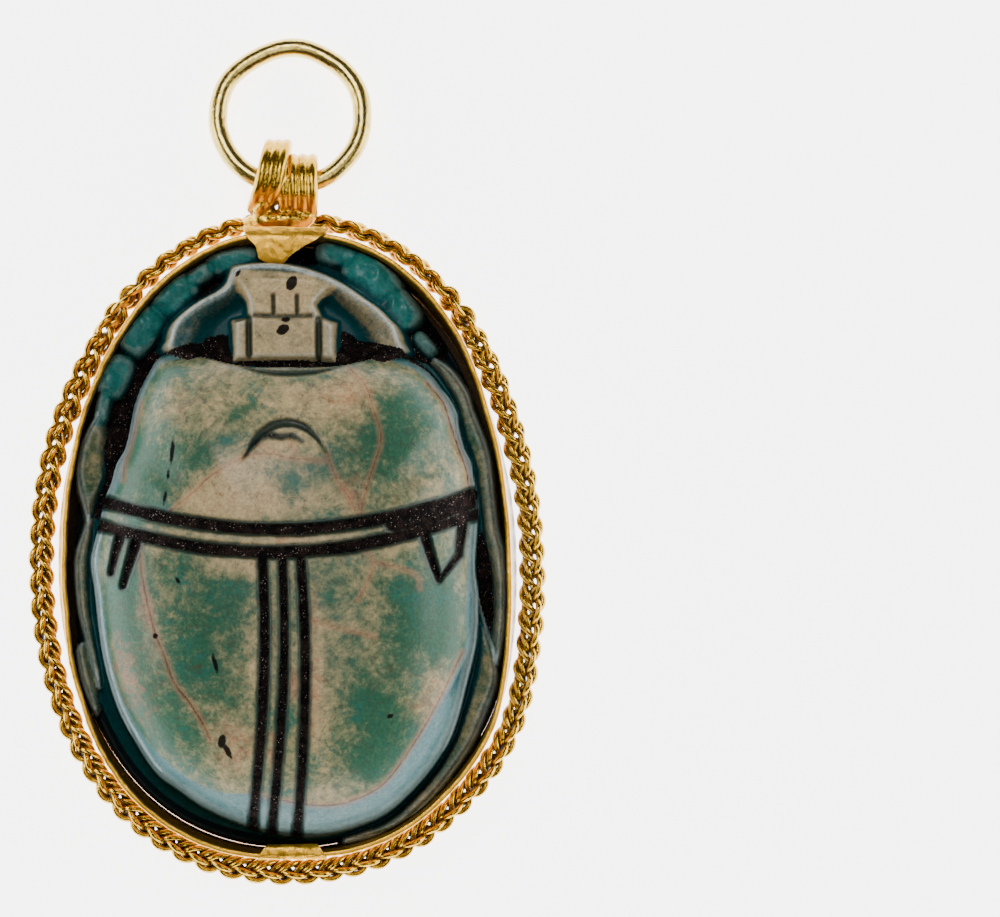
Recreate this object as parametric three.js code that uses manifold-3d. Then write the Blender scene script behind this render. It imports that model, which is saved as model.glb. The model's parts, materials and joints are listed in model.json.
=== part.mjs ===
// Scarab amulet: a glazed scarab in a gold strip setting, with a plaited wire border, a ribbed
// loop and a plain suspension ring. It lies on its back plate, the scarab up, the ring towards +Y.
// Millimetres, +X right, +Y from the beetle's tail to its head, +Z up.
import * as THREE from "three";
import { mergeVertices } from "three/addons/utils/BufferGeometryUtils.js";
import Module from "manifold-3d";

const wasm = await Module();
wasm.setup();

const { cos, sin, exp, atan2, PI, abs, sign, min, hypot } = Math;
const TURN = 2 * PI;
const DEGREE = PI / 180;

// ---------- driving dimensions ----------

// Where the hand-bent strip swells or sinks: turn round the setting and width in degrees, amount.
const SWELLS = [
  { at: 172, width: 28, by: 0.36 },
  { at: -31, width: 13, by: 0.32 },
  { at: 20, width: 12, by: -0.12 },
];
// An egg outline: half width and half length, centre, how far it narrows towards the head,
// the power of its superellipse, and its swells.
const RIM_EGG = {
  halfWidth: 14.23, halfLength: 20.19, x: 0.06, y: -5.94, taper: 0.075, power: 2.33, swells: SWELLS,
};
const FOOT_EGG = {
  halfWidth: 14.68, halfLength: 19.8, x: 0, y: -5.75, taper: 0.066, power: 2.15, swells: SWELLS,
};
const BRAID_EGG = {
  halfWidth: 16.53, halfLength: 21.8, x: -0.04, y: -5.8, taper: 0.064, power: 2.15, swells: SWELLS,
};
const BACK_EGG = { halfWidth: 12.05, halfLength: 16.7, x: -0.1, y: -8.2, taper: 0, power: 2.5 };

const WALL_HEIGHT = 6.6;
const WALL_THICKNESS = 0.35;
const RIM_ROUNDING = 0.12;
const PLATE_THICKNESS = 0.4;
const JOINT_GAP = 0.3; // left between pieces that touch
const TONGUE_THICKNESS = 0.35;

const BRAID_WIDTH = 1.7;
const BRAID_THICKNESS = 0.8;
const BRAID_LOBES = 75; // bumps along each edge: three for each repeat of the plait
const LOBE_DEPTH = 0.16;
const BRAID_LIFT = 0.08; // the plait hangs clear of the table, held by the wall
const UPRIGHT_INSET = 0.6; // its middle from its outer edge where it stands
const HEAD_TURN = { start: 0.55, full: 0.86 }; // share of the way to the head where the plait turns on edge

const SCARAB_FOOT = PLATE_THICKNESS + JOINT_GAP;
const SCARAB_TOP = 13;
const BASE_TOP = 3.4; // the plain base that the legs stand on
const GROOVE_RADIUS = 0.42;
const WALL_CLEARANCE = 0.2;

const RING_RADIUS = 4.69; // to the middle of the wire
const RING_WIRE = 1.23;
const HINGE = { x: 0, y: 17.5, z: 2.45 }; // where the ring's wire runs through the loop
const RING_LIFT = 0.08; // how far the far side of the ring is left above the table
const RING_FLATS = [
  { at: 118, width: 24, by: 0.2 },
  { at: 60, width: 17, by: 0.1 },
];
const STRAIGHT_RIBS = { count: 4, x: -0.4, pitch: 0.62, wire: 0.72, radius: 2.1, y: 0, z: 0, lean: 0 };
const LEANING_RIBS = {
  count: 3, x: -1.75, pitch: 0.55, wire: 0.7, radius: 2.45, y: 0.65, z: 0.08, lean: -0.22,
};

// ---------- solids ----------

// A closed mesh from a grid of points, rows x columns, wrapped round in both directions.
function closedGrid(rows, columns, pointAt) {
  const positions = [];
  const index = [];
  for (let i = 0; i < rows; i++) {
    for (let j = 0; j < columns; j++) {
      positions.push(...pointAt(i, j).toArray());
      const a = i * columns + j;
      const b = i * columns + ((j + 1) % columns);
      const c = ((i + 1) % rows) * columns + j;
      const d = ((i + 1) % rows) * columns + ((j + 1) % columns);
      index.push(a, b, d, a, d, c);
    }
  }
  return indexed(positions, index);
}

// A closed mesh from a stack of rings, each end closed by a fan round its own middle point.
function cappedStack(rings) {
  const sides = rings[0].length;
  const positions = rings.flat().flatMap((p) => p.toArray());
  const index = [];
  for (let i = 0; i + 1 < rings.length; i++) {
    for (let j = 0; j < sides; j++) {
      const a = i * sides + j;
      const b = i * sides + ((j + 1) % sides);
      index.push(a, b, b + sides, a, b + sides, a + sides);
    }
  }
  for (const [row, facesBack] of [[0, true], [rings.length - 1, false]]) {
    const middle = rings[row].reduce((sum, p) => sum.add(p), new THREE.Vector3()).divideScalar(sides);
    const centre = positions.length / 3;
    positions.push(...middle.toArray());
    for (let j = 0; j < sides; j++) {
      const a = row * sides + j;
      const b = row * sides + ((j + 1) % sides);
      index.push(...(facesBack ? [centre, b, a] : [centre, a, b]));
    }
  }
  return indexed(positions, index);
}

function indexed(positions, index) {
  const geometry = new THREE.BufferGeometry();
  geometry.setAttribute("position", new THREE.Float32BufferAttribute(positions, 3));
  geometry.setIndex(index);
  return geometry;
}

function solid(geometry) {
  const bare = geometry.clone();
  bare.deleteAttribute("normal");
  bare.deleteAttribute("uv");
  const merged = mergeVertices(bare, 1e-4);
  const vertProperties = merged.attributes.position.array;
  const made = new wasm.Manifold(
    new wasm.Mesh({ numProp: 3, vertProperties, triVerts: new Uint32Array(merged.index.array) }),
  );
  return made;
}

const joined = (solids) => solids.reduce((whole, piece) => whole.add(piece));

function geometryOf(made) {
  const { vertProperties, triVerts, numProp } = made.getMesh();
  const geometry = new THREE.BufferGeometry();
  const positions = new THREE.InterleavedBuffer(vertProperties, numProp);
  geometry.setAttribute("position", new THREE.InterleavedBufferAttribute(positions, 3, 0));
  geometry.setIndex(new THREE.BufferAttribute(triVerts, 1));
  const flat = geometry.toNonIndexed();
  flat.computeVertexNormals();
  return flat;
}

// A round or oval bar along a smooth line, its radius changing along it, with closed ends.
function bar(points, radiusAt, { sides = 6, steps = 12, flat = 1 } = {}) {
  const line = new THREE.CatmullRomCurve3(points);
  const rings = [];
  for (let i = 0; i <= steps; i++) {
    const t = i / steps;
    const along = line.getTangent(t);
    const across = new THREE.Vector3(along.y, -along.x, 0).normalize();
    const up = new THREE.Vector3().crossVectors(across, along).normalize();
    const ring = [];
    for (let j = 0; j < sides; j++) {
      const turn = (TURN * (j + 0.5)) / sides;
      const r = radiusAt(t);
      ring.push(
        line.getPoint(t).addScaledVector(across, r * cos(turn)).addScaledVector(up, r * flat * sin(turn)),
      );
    }
    rings.push(ring);
  }
  return orientedOut(cappedStack(rings));
}

// Turns a closed mesh right side out.
function orientedOut(geometry) {
  const made = solid(geometry);
  if (made.volume() > 0) return made;
  const { array } = geometry.index;
  for (let i = 0; i < array.length; i += 3) [array[i], array[i + 1]] = [array[i + 1], array[i]];
  return solid(geometry);
}

// ---------- outlines ----------

const power = (value, exponent) => sign(value) * abs(value) ** exponent;

// The swells added up at a turn: each fades to both sides over its width.
function swelling(swells, turn) {
  return swells.reduce((sum, { at, width, by }) => {
    const apart = atan2(sin(turn - at * DEGREE), cos(turn - at * DEGREE));
    return sum + by * exp(-((apart / (width * DEGREE)) ** 2));
  }, 0);
}

function eggPoint(egg, turn, offset = 0) {
  const along = power(sin(turn), 2 / egg.power);
  const across = power(cos(turn), 2 / egg.power) * (1 - egg.taper * sin(turn));
  const out = offset + swelling(egg.swells ?? [], turn);
  return new THREE.Vector2(egg.x + (egg.halfWidth + out) * across, egg.y + (egg.halfLength + out) * along);
}

// The egg's height above a level for a dome that is widest at its rim: 0 at the rim, 1 at the crown.
function domeShare(egg, x, y, crown) {
  const across = abs((x - egg.x) / egg.halfWidth);
  const along = abs((y - egg.y) / egg.halfLength);
  const out = (across ** egg.power + along ** egg.power) ** (1 / egg.power);
  return out >= 1 ? 0 : (1 - out ** crown) ** (1 / crown);
}

function eggPrism(egg, offset, bottom, top, steps = 72) {
  const ring = (z) =>
    Array.from({ length: steps }, (_, i) => {
      const p = eggPoint(egg, (TURN * i) / steps, offset);
      return new THREE.Vector3(p.x, p.y, z);
    });
  return orientedOut(cappedStack([ring(bottom), ring(top)]));
}

// A prism whose outline is a smooth closed line through the corners, from bottom to top.
function prism(corners, bottom, top, { smooth = true, bevel = 0 } = {}) {
  const shape = smooth
    ? new THREE.Shape().setFromPoints(
        new THREE.SplineCurve([...corners, corners[0]].map((c) => new THREE.Vector2(...c)))
          .getPoints(corners.length * 2)
          .slice(0, -1),
      )
    : new THREE.Shape(corners.map((c) => new THREE.Vector2(...c)));
  const geometry = new THREE.ExtrudeGeometry(shape, {
    depth: top - bottom - bevel,
    bevelEnabled: bevel > 0,
    bevelThickness: bevel,
    bevelSize: bevel,
    bevelOffset: -bevel,
    bevelSegments: 2,
    curveSegments: 1,
  });
  return orientedOut(geometry.translate(0, 0, bottom));
}

function ball(x, y, z, rx, ry, rz) {
  return solid(new THREE.SphereGeometry(1, 8, 6).scale(rx, ry, rz).translate(x, y, z));
}

// ---------- the scarab ----------

const BASE_EGG = { halfWidth: 13.2, halfLength: 18.4, x: -0.15, y: -6.4, taper: 0.1, power: 2.3 };
const BACK_CROWN = 2.6;
const FRONT_EDGE = { y: 4.5, bow: 0.03 }; // the wing shield's front edge, hollow towards the head
const HEAD_SEAT = 8; // level of the back left standing under the head
const CHEEK_TOP = 7.5;
const CLYPEUS_TOP = 8.2;
const HEAD_TOP = 9;
const CROSS_GROOVES = [
  { y: -5.3, bow: 0.0165, x: -0.6 },
  { y: -6.75, bow: 0.0165, x: -0.9 },
];
const CROSS_GROOVE_REACH = 12.2;
const WING_LINES = {
  start: -6.7, end: -24.4, x: -0.11, bend: 0.006, bendAt: -11.9, spread: 1.2, splay: 0.028,
};
const FORELEG_Z = 4.3;
const HINDLEG_Z = 3.5;

const backHeight = (x, y) => BASE_TOP + (SCARAB_TOP - BASE_TOP) * domeShare(BACK_EGG, x, y, BACK_CROWN);

function backDome(levels = 9, sides = 48) {
  const rings = [];
  for (let i = 0; i < levels; i++) {
    const out = cos((i / levels) * (PI / 2)) ** (2 / BACK_CROWN);
    const up = sin((i / levels) * (PI / 2)) ** (2 / BACK_CROWN);
    rings.push(
      Array.from({ length: sides }, (_, j) => {
        const edge = eggPoint(BACK_EGG, (TURN * j) / sides);
        return new THREE.Vector3(
          BACK_EGG.x + (edge.x - BACK_EGG.x) * out,
          BACK_EGG.y + (edge.y - BACK_EGG.y) * out,
          BASE_TOP + (SCARAB_TOP - BASE_TOP) * up,
        );
      }),
    );
  }
  const foot = rings[0].map((p) => new THREE.Vector3(p.x, p.y, SCARAB_FOOT + 1));
  return orientedOut(cappedStack([foot, ...rings]));
}

// What is cut away in front of the wing shield, above the head's seat.
function frontCut(steps = 14, reach = 14) {
  const corners = [];
  for (let i = 0; i <= steps; i++) {
    const x = -reach + (2 * reach * i) / steps;
    corners.push([x, FRONT_EDGE.y + FRONT_EDGE.bow * x * x]);
  }
  corners.push([reach, reach + 4], [-reach, reach + 4]);
  return prism(corners, HEAD_SEAT, SCARAB_TOP + 2, { smooth: false });
}

// A groove along a line on the back, cut to half its bar's depth.
function groove(points, radius = GROOVE_RADIUS, steps = 10) {
  const on = points.map(([x, y]) => new THREE.Vector3(x, y, backHeight(x, y) + radius * 0.2));
  return bar(on, () => radius, { sides: 4, steps });
}

function crossGroove({ y, bow, x: middle }, samples = 11) {
  const points = [];
  for (let i = 0; i < samples; i++) {
    const x = CROSS_GROOVE_REACH * ((2 * i) / (samples - 1) - 1) + BACK_EGG.x;
    points.push([x * 0.995, y + bow * (x - middle) ** 2]);
  }
  return groove(points, GROOVE_RADIUS, 14);
}

function wingLine(side, samples = 8) {
  const points = [];
  for (let i = 0; i < samples; i++) {
    const y = WING_LINES.start + ((WING_LINES.end - WING_LINES.start) * i) / (samples - 1);
    const middle = WING_LINES.x - WING_LINES.bend * (y - WING_LINES.bendAt) ** 2;
    const apart = WING_LINES.spread + (side > 0 ? WING_LINES.splay * (WING_LINES.start - y) : 0);
    points.push([middle + side * apart, y]);
  }
  return groove(points, GROOVE_RADIUS * 0.85, 8);
}

function headPieces() {
  const cheeks = [[-7.5, 7], [-6.5, 9], [-4.3, 10.1], [-3.6, 11.6], [-1.5, 12.2], [1.9, 11.6],
    [4.3, 9.9], [7.1, 7.1], [6.6, 5.2], [0, 4.2], [-6.8, 5.2]];
  const clypeus = [[-3.3, 11.6], [-1.5, 12], [1.7, 11.3], [2.9, 10.8], [1.9, 9.1], [-2.7, 9.1]];
  const middle = [[-2.3, 4.4], [1.7, 4.4], [1.7, 8.4], [-2.3, 8.4]];
  const leftStrip = [[-3.6, 4.8], [-2.9, 4.8], [-2.8, 8.3], [-3.4, 8]];
  const rightStrip = [[2.3, 4.8], [3.1, 4.8], [3, 7.8], [2.3, 8.4]];
  return [
    prism(cheeks, BASE_TOP - 1, CHEEK_TOP, { bevel: 0.3 }),
    prism(clypeus, BASE_TOP, CLYPEUS_TOP, { smooth: false, bevel: 0.2 }),
    ...[middle, leftStrip, rightStrip].map((corners) =>
      prism(corners, BASE_TOP, HEAD_TOP, { smooth: false, bevel: 0.2 })),
  ];
}

// The toothed shins: a row of knobs beside the head, and the smooth arm behind them.
function forelegs() {
  const knobs = [
    [-3.6, 12.5, 0.95], [-5.8, 11.4, 0.8], [-7.4, 10.1, 1.1], [-9.2, 8.1, 1.15], [-10.9, 5.2, 1.05],
    [-11.4, 2.7, 0.95], [3.3, 12.6, 0.95], [5.4, 11.1, 1.2], [7, 9.1, 0.95], [8.7, 7.2, 0.8],
  ];
  const left = [[-4, 11.6], [-7, 9.4], [-9.6, 6], [-11.2, 2.4], [-12, -0.8], [-12.2, -3]];
  const right = [[3.4, 11.8], [6.4, 8.9], [9, 5.6], [10.9, 2.6], [11.8, -0.6], [12.2, -3.4]];
  const arm = (line) =>
    bar(line.map(([x, y]) => new THREE.Vector3(x, y, FORELEG_Z - 0.9)), () => 1.1, { steps: 7 });
  return [
    ...knobs.map(([x, y, r]) => ball(x, y, FORELEG_Z, r, r * 0.85, 1.15)),
    arm(left),
    arm(right),
  ];
}

function walkingLegs() {
  const lines = [
    [[11.8, 3], [12.5, -3], [12.7, -8.6], [12.4, -13.6]],
    [[11.6, -9], [12.2, -14], [11.7, -18], [9.6, -21.4], [6.2, -23.6]],
    [[-11.7, -3.6], [-12.5, -6.6], [-12.3, -11], [-11.6, -15]],
    [[-12, -10], [-12.3, -14.4], [-11.2, -18.6], [-8.8, -21.9], [-5.4, -23.8]],
  ];
  return lines.map((line, i) => {
    const z = HINDLEG_Z + (i % 2 ? -0.2 : 0.4);
    const points = line.map(([x, y]) => new THREE.Vector3(x, y, z));
    return bar(points, (t) => 1.15 - 0.25 * abs(2 * t - 1), { steps: 7 });
  });
}

// The space inside the strip wall, less a clearance, that the scarab keeps to.
function settingHollow(steps = 48) {
  const levels = [SCARAB_FOOT, WALL_HEIGHT, SCARAB_TOP + 1];
  const rings = levels.map((z) =>
    Array.from({ length: steps }, (_, i) => {
      const p = wallPoint((TURN * i) / steps, z, -WALL_THICKNESS - WALL_CLEARANCE);
      return new THREE.Vector3(p.x, p.y, z);
    }),
  );
  return orientedOut(cappedStack(rings));
}

function scarab() {
  const humeralMarks = [
    [[-10.7, -5.7], [-11.3, -7.9]],
    [[-9.7, -6.1], [-10.5, -8.8]],
    [[8.7, -5.2], [9.7, -8.4]],
    [[11.2, -5], [10.8, -6.9], [9.8, -8.3]],
  ];
  const crescent = [[-2.8, -0.7], [-1.4, 1.2], [0.1, 1.6], [1.6, 1.2], [2.4, -0.1]];
  const grooves = joined([
    ...CROSS_GROOVES.map((line) => crossGroove(line)),
    ...[-1, 0, 1].map((side) => wingLine(side)),
    ...humeralMarks.map((line) => groove(line, GROOVE_RADIUS * 0.8, 3)),
    groove(crescent, GROOVE_RADIUS * 0.8, 8),
  ]);
  const back = backDome().subtract(frontCut()).subtract(grooves);
  const base = eggPrism(BASE_EGG, 0, SCARAB_FOOT, BASE_TOP, 40);
  const whole = joined([base, back, ...headPieces(), ...forelegs(), ...walkingLegs()]);
  return whole.intersect(settingHollow());
}

// ---------- the gold setting ----------

// A point of the strip wall, straight from its foot to its rim.
function wallPoint(turn, z, offset) {
  const foot = eggPoint(FOOT_EGG, turn, offset);
  return foot.lerp(eggPoint(RIM_EGG, turn, offset), min(z / WALL_HEIGHT, 1));
}

function stripWall(steps = 80) {
  const t = WALL_THICKNESS;
  const top = WALL_HEIGHT;
  const section = [
    [0, -t], [0, 0], [top - RIM_ROUNDING, 0], [top, -RIM_ROUNDING],
    [top, RIM_ROUNDING - t], [top - RIM_ROUNDING, -t],
  ];
  return orientedOut(
    closedGrid(steps, section.length, (i, j) => {
      const [z, offset] = section[j];
      const p = wallPoint((TURN * (i + 0.5)) / steps, z, offset);
      return new THREE.Vector3(p.x, p.y, z);
    }),
  );
}

// The strip's end, folded in over the scarab's head, and the plain lap at its tail.
function wallTabs() {
  const tongue = [[-3, 13.9], [-2.1, 13.3], [-1.6, 12.6], [-0.6, 12.3], [0, 12.5], [0.7, 13], [2, 13.9]];
  const lap = [[-1.8, -25.5], [-1.4, -25.15], [0.3, -25.05], [2, -25.15], [2.4, -25.5]];
  return [
    prism(tongue, WALL_HEIGHT - TONGUE_THICKNESS, WALL_HEIGHT, { smooth: false }),
    prism(lap, 0.8, WALL_HEIGHT, { smooth: false }),
  ];
}

const bezelBand = () => joined([stripWall(), ...wallTabs()]);

const backPlate = () => eggPrism(FOOT_EGG, -WALL_THICKNESS - JOINT_GAP, 0, PLATE_THICKNESS, 64);

// How far the plait has turned up on its edge at a turn round the border: 0 flat, 1 upright.
function braidUpright(turn) {
  const towardsHead = sin(turn);
  return THREE.MathUtils.smoothstep(towardsHead, HEAD_TURN.start, HEAD_TURN.full);
}

// The middle of the plait, with the directions across its flat side and through its thickness.
function braidFrame(turn) {
  const step = 0.002;
  const upright = braidUpright(turn);
  const here = eggPoint(BRAID_EGG, turn);
  const along = eggPoint(BRAID_EGG, turn + step).sub(eggPoint(BRAID_EGG, turn - step)).normalize();
  const outward = new THREE.Vector3(along.y, -along.x, 0);
  const lean = (upright * PI) / 2;
  const halfAcross = BRAID_WIDTH / 2;
  const halfThrough = BRAID_THICKNESS / 2;
  const inset = THREE.MathUtils.lerp(halfAcross, UPRIGHT_INSET, upright);
  const lift = BRAID_LIFT + halfThrough * cos(lean) + halfAcross * sin(lean);
  const middle = new THREE.Vector3(here.x, here.y, lift).addScaledVector(outward, -inset);
  const across = outward.clone().multiplyScalar(cos(lean)).add(new THREE.Vector3(0, 0, sin(lean)));
  const through = outward.clone().multiplyScalar(-sin(lean)).add(new THREE.Vector3(0, 0, cos(lean)));
  return { middle, across, through };
}

function braidBorder(grow = 0, stepsEach = 2) {
  const steps = BRAID_LOBES * stepsEach;
  const sides = 6;
  return orientedOut(
    closedGrid(steps, sides, (i, j) => {
      const turn = (TURN * i) / steps;
      const { middle, across, through } = braidFrame(turn);
      const bump = LOBE_DEPTH * (0.5 - 0.5 * cos((TURN * i) / stepsEach));
      const a = (TURN * j) / sides;
      const halfWidth = BRAID_WIDTH / 2 - LOBE_DEPTH + bump + grow;
      const halfHeight = BRAID_THICKNESS / 2 / sin(PI / 3) + grow;
      middle.addScaledVector(across, halfWidth * cos(a));
      return middle.addScaledVector(through, halfHeight * sin(a));
    }),
  );
}

// ---------- the loop and its ring ----------

// A row of wire hoops side by side; y and z are counted from the hinge.
function ribs({ count, x, pitch, wire, radius, y, z, lean }) {
  return Array.from({ length: count }, (_, i) => {
    const hoop = new THREE.TorusGeometry(radius - wire / 2, wire / 2, 5, 14);
    return solid(hoop.rotateY(PI / 2).rotateZ(lean).translate(x + pitch * i, HINGE.y + y, HINGE.z + z));
  });
}

function suspensionLoop() {
  const foot = prism([[-1.4, 14.9], [1.3, 14.9], [1.6, 16.1], [-1.9, 16.2]], 2.1, 3.3, { smooth: false });
  const whole = joined([...ribs(STRAIGHT_RIBS), ...ribs(LEANING_RIBS), foot]);
  return whole.subtract(braidBorder(JOINT_GAP, 1));
}

// A ring of round wire, a little flattened where it was once knocked.
function ringGeometry() {
  const geometry = new THREE.TorusGeometry(RING_RADIUS, RING_WIRE / 2, 8, 40);
  const { position } = geometry.attributes;
  for (let i = 0; i < position.count; i++) {
    const x = position.getX(i);
    const y = position.getY(i);
    const share = 1 - swelling(RING_FLATS, atan2(y, x)) / hypot(x, y);
    position.setXY(i, x * share, y * share);
  }
  return geometry;
}

// ---------- the model ----------

const GOLD = { color: 0xc8963a, metalness: 1, roughness: 0.34 };
const PALE_GOLD = { color: 0xcfae6a, metalness: 1, roughness: 0.26 };
const GLAZE = { color: 0x7f9078, metalness: 0, roughness: 0.3 };

function piece(name, geometry, look) {
  const mesh = new THREE.Mesh(geometry, new THREE.MeshStandardMaterial(look));
  mesh.name = name;
  return mesh;
}

const amulet = new THREE.Group();
amulet.add(
  piece("scarab", geometryOf(scarab()), GLAZE),
  piece("bezel_band", geometryOf(bezelBand()), GOLD),
  piece("back_plate", geometryOf(backPlate()), GOLD),
  piece("braid_border", geometryOf(braidBorder()), GOLD),
  piece("suspension_loop", geometryOf(suspensionLoop()), GOLD),
);

const ring = piece("suspension_ring", ringGeometry(), PALE_GOLD);
ring.position.set(0, RING_RADIUS, 0);
const ringHinge = new THREE.Group();
ringHinge.position.set(HINGE.x, HINGE.y, HINGE.z);
ringHinge.rotation.x = -Math.asin((HINGE.z - RING_WIRE / 2 - RING_LIFT) / (2 * RING_RADIUS));
ringHinge.add(ring);
amulet.add(ringHinge);

// The origin is the middle of the whole, on the table.
const whole = new THREE.Group();
whole.add(amulet);
const box = new THREE.Box3().setFromObject(amulet, true);
const middle = box.getCenter(new THREE.Vector3());
amulet.position.set(-middle.x, -middle.y, -box.min.z);

export default whole;
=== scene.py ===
import json
import math

import bmesh
import bpy
import numpy as np
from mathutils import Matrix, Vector
from mathutils.bvhtree import BVHTree


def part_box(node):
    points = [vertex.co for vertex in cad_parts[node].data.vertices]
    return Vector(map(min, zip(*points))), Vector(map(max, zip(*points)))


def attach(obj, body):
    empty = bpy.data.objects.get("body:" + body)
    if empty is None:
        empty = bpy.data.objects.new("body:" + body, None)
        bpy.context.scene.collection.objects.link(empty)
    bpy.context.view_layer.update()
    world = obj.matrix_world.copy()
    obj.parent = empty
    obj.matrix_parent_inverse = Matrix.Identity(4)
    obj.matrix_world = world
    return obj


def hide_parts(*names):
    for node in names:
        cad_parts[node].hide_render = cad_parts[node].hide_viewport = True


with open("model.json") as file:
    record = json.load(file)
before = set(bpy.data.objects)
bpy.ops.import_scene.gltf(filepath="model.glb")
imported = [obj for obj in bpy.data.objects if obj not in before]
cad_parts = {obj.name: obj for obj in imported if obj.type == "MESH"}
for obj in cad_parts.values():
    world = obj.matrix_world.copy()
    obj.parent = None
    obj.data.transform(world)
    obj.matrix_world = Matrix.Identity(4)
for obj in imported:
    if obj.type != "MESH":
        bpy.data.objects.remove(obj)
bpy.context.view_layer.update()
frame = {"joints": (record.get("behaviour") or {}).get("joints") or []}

bl_info = {
    "name": "Scarab amulet",
    "version": (1, 0, 0),
    "blender": (4, 5, 0),
    "location": "View3D > Sidebar > Scarab amulet",
    "description": "Dresses the scarab amulet: carved glazed stone in a gold setting",
    "category": "Add Mesh",
}

MM = 0.001
BODY = "amulet"

# The carving is laid out in millimetres along the middle line that the ring's hinge stands on.
# The ring's joint tells where that lies in the frame.
HINGE = (0.0, 17.5, 2.45)


def box_mm(node):
    """A CAD node's lowest and highest corner, in millimetres."""
    low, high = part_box(node)
    return np.array(low) / MM, np.array(high) / MM


PLATE_TOP = box_mm("back_plate")[1][2]
SHIFT = np.array(frame["joints"][0]["pos_m"][:2]) / MM - np.array(HINGE[:2])
WALL_TOP = box_mm("bezel_band")[1][2]
STONE_FOOT = box_mm("scarab")[0][2]
STONE_TOP = box_mm("scarab")[1][2]


# ---------- shapes worked out in millimetres ----------

def swelling(swells, turn):
    """Swells added up at a turn: each fades to both sides over its width; both are in degrees."""
    total = 0.0
    for at, width, amount in swells:
        apart = turn - math.radians(at)
        apart = np.arctan2(np.sin(apart), np.cos(apart))
        total = total + amount * np.exp(-((apart / math.radians(width)) ** 2))
    return total


class Egg:
    """An oval that narrows towards the head: half width, half length, centre, taper and power."""

    def __init__(self, half_width, half_length, x, y, taper, power, swells=()):
        self.half_width, self.half_length = half_width, half_length
        self.x, self.y, self.taper, self.power = x, y, taper, power
        self.swells = swells

    def point(self, turn, offset=0.0):
        """The outline's point at an angle, moved outwards by an offset."""
        along = np.sign(np.sin(turn)) * np.abs(np.sin(turn)) ** (2 / self.power)
        across = np.sign(np.cos(turn)) * np.abs(np.cos(turn)) ** (2 / self.power)
        across = across * (1 - self.taper * np.sin(turn))
        out = offset + swelling(self.swells, turn)
        return (self.x + (self.half_width + out) * across,
                self.y + (self.half_length + out) * along)

    def share(self, x, y):
        """How far out a place lies: 0 in the middle, 1 on the outline."""
        along = (y - self.y) / self.half_length
        narrowing = np.sign(along) * np.minimum(np.abs(along), 1) ** (self.power / 2)
        across = (x - self.x) / (self.half_width * (1 - self.taper * narrowing))
        return (np.abs(across) ** self.power + np.abs(along) ** self.power) ** (1 / self.power)


# Where the hand-bent strip swells or sinks: turn and width in degrees, and amount.
SWELLS = ((172, 28, 0.36), (-31, 13, 0.32), (20, 12, -0.12))
RIM = Egg(14.23, 20.19, 0.06, -5.94, 0.075, 2.33, SWELLS)
FOOT = Egg(14.68, 19.8, 0.0, -5.75, 0.066, 2.15, SWELLS)
BRAID = Egg(16.53, 21.8, -0.04, -5.8, 0.064, 2.15, SWELLS)


FAR = 9.0  # a distance, in millimetres, that is far from everything near


def smoothstep(low, high, value):
    """0 below low, 1 above high, smooth between."""
    share = np.clip((value - low) / (high - low), 0, 1)
    return share * share * (3 - 2 * share)


def smooth_max(a, b, radius):
    """The higher of two heights, with the crease between them filled to a radius."""
    share = np.clip(0.5 + 0.5 * (a - b) / radius, 0, 1)
    return b + (a - b) * share + radius * share * (1 - share)


def curve_through(points, per_span=8, closed=False):
    """A smooth line through the points, as an array of places."""
    p = np.asarray(points, float)
    count = len(p)
    spans = count if closed else count - 1
    out = []
    for i in range(spans):
        if closed:
            a, b, c, d = (p[(i + k) % count] for k in (-1, 0, 1, 2))
        else:
            b, c = p[i], p[i + 1]
            a = p[i - 1] if i else 2 * b - c
            d = p[i + 2] if i + 2 < count else 2 * c - b
        t = (np.arange(per_span) / per_span)[:, None]
        out.append(0.5 * (2 * b + (c - a) * t + (2 * a - 5 * b + 4 * c - d) * t ** 2
                          + (3 * b - a - 3 * c + d) * t ** 3))
    if not closed:
        out.append(p[-1:])
    return np.concatenate(out)


def line_distance(x, y, line):
    """Signed distance to a line, and how far along it the nearest place is, from 0 to 1."""
    best = np.full(x.shape, 1e9)
    side = np.ones(x.shape)
    share = np.zeros(x.shape)
    lengths = np.hypot(*np.diff(line, axis=0).T)
    ends = np.concatenate([[0], np.cumsum(lengths)])
    for (ax, ay), (bx, by), length, start in zip(line[:-1], line[1:], lengths, ends):
        dx, dy = (bx - ax) / length, (by - ay) / length
        along = np.clip((x - ax) * dx + (y - ay) * dy, 0, length)
        away = np.hypot(x - ax - along * dx, y - ay - along * dy)
        near = away < best
        best = np.where(near, away, best)
        turned = (x - ax) * dy - (y - ay) * dx
        side = np.where(near, np.where(turned < 0, -1.0, 1.0), side)
        share = np.where(near, (start + along) / ends[-1], share)
    return best * side, share


def polar_curve(points, centre, per_span=12):
    """A closed outline as its distance from a centre at evenly spaced angles."""
    line = curve_through(points, per_span, closed=True) - np.asarray(centre)
    angle = np.arctan2(line[:, 1], line[:, 0])
    order = np.argsort(angle)
    angle, radius = angle[order], np.hypot(line[order, 0], line[order, 1])
    angle = np.concatenate([angle - 2 * math.pi, angle, angle + 2 * math.pi])
    radius = np.tile(radius, 3)
    steps = np.linspace(-math.pi, math.pi, 720, endpoint=False)
    return steps, np.interp(steps, angle, radius)


def polar_share(x, y, centre, outline):
    """How far out a place lies towards an outline: 0 at the centre, 1 on it."""
    steps, radius = outline
    angle = np.arctan2(y - centre[1], x - centre[0])
    reach = np.interp(angle, np.append(steps, math.pi), np.append(radius, radius[0]))
    return np.hypot(x - centre[0], y - centre[1]) / reach, reach


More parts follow.
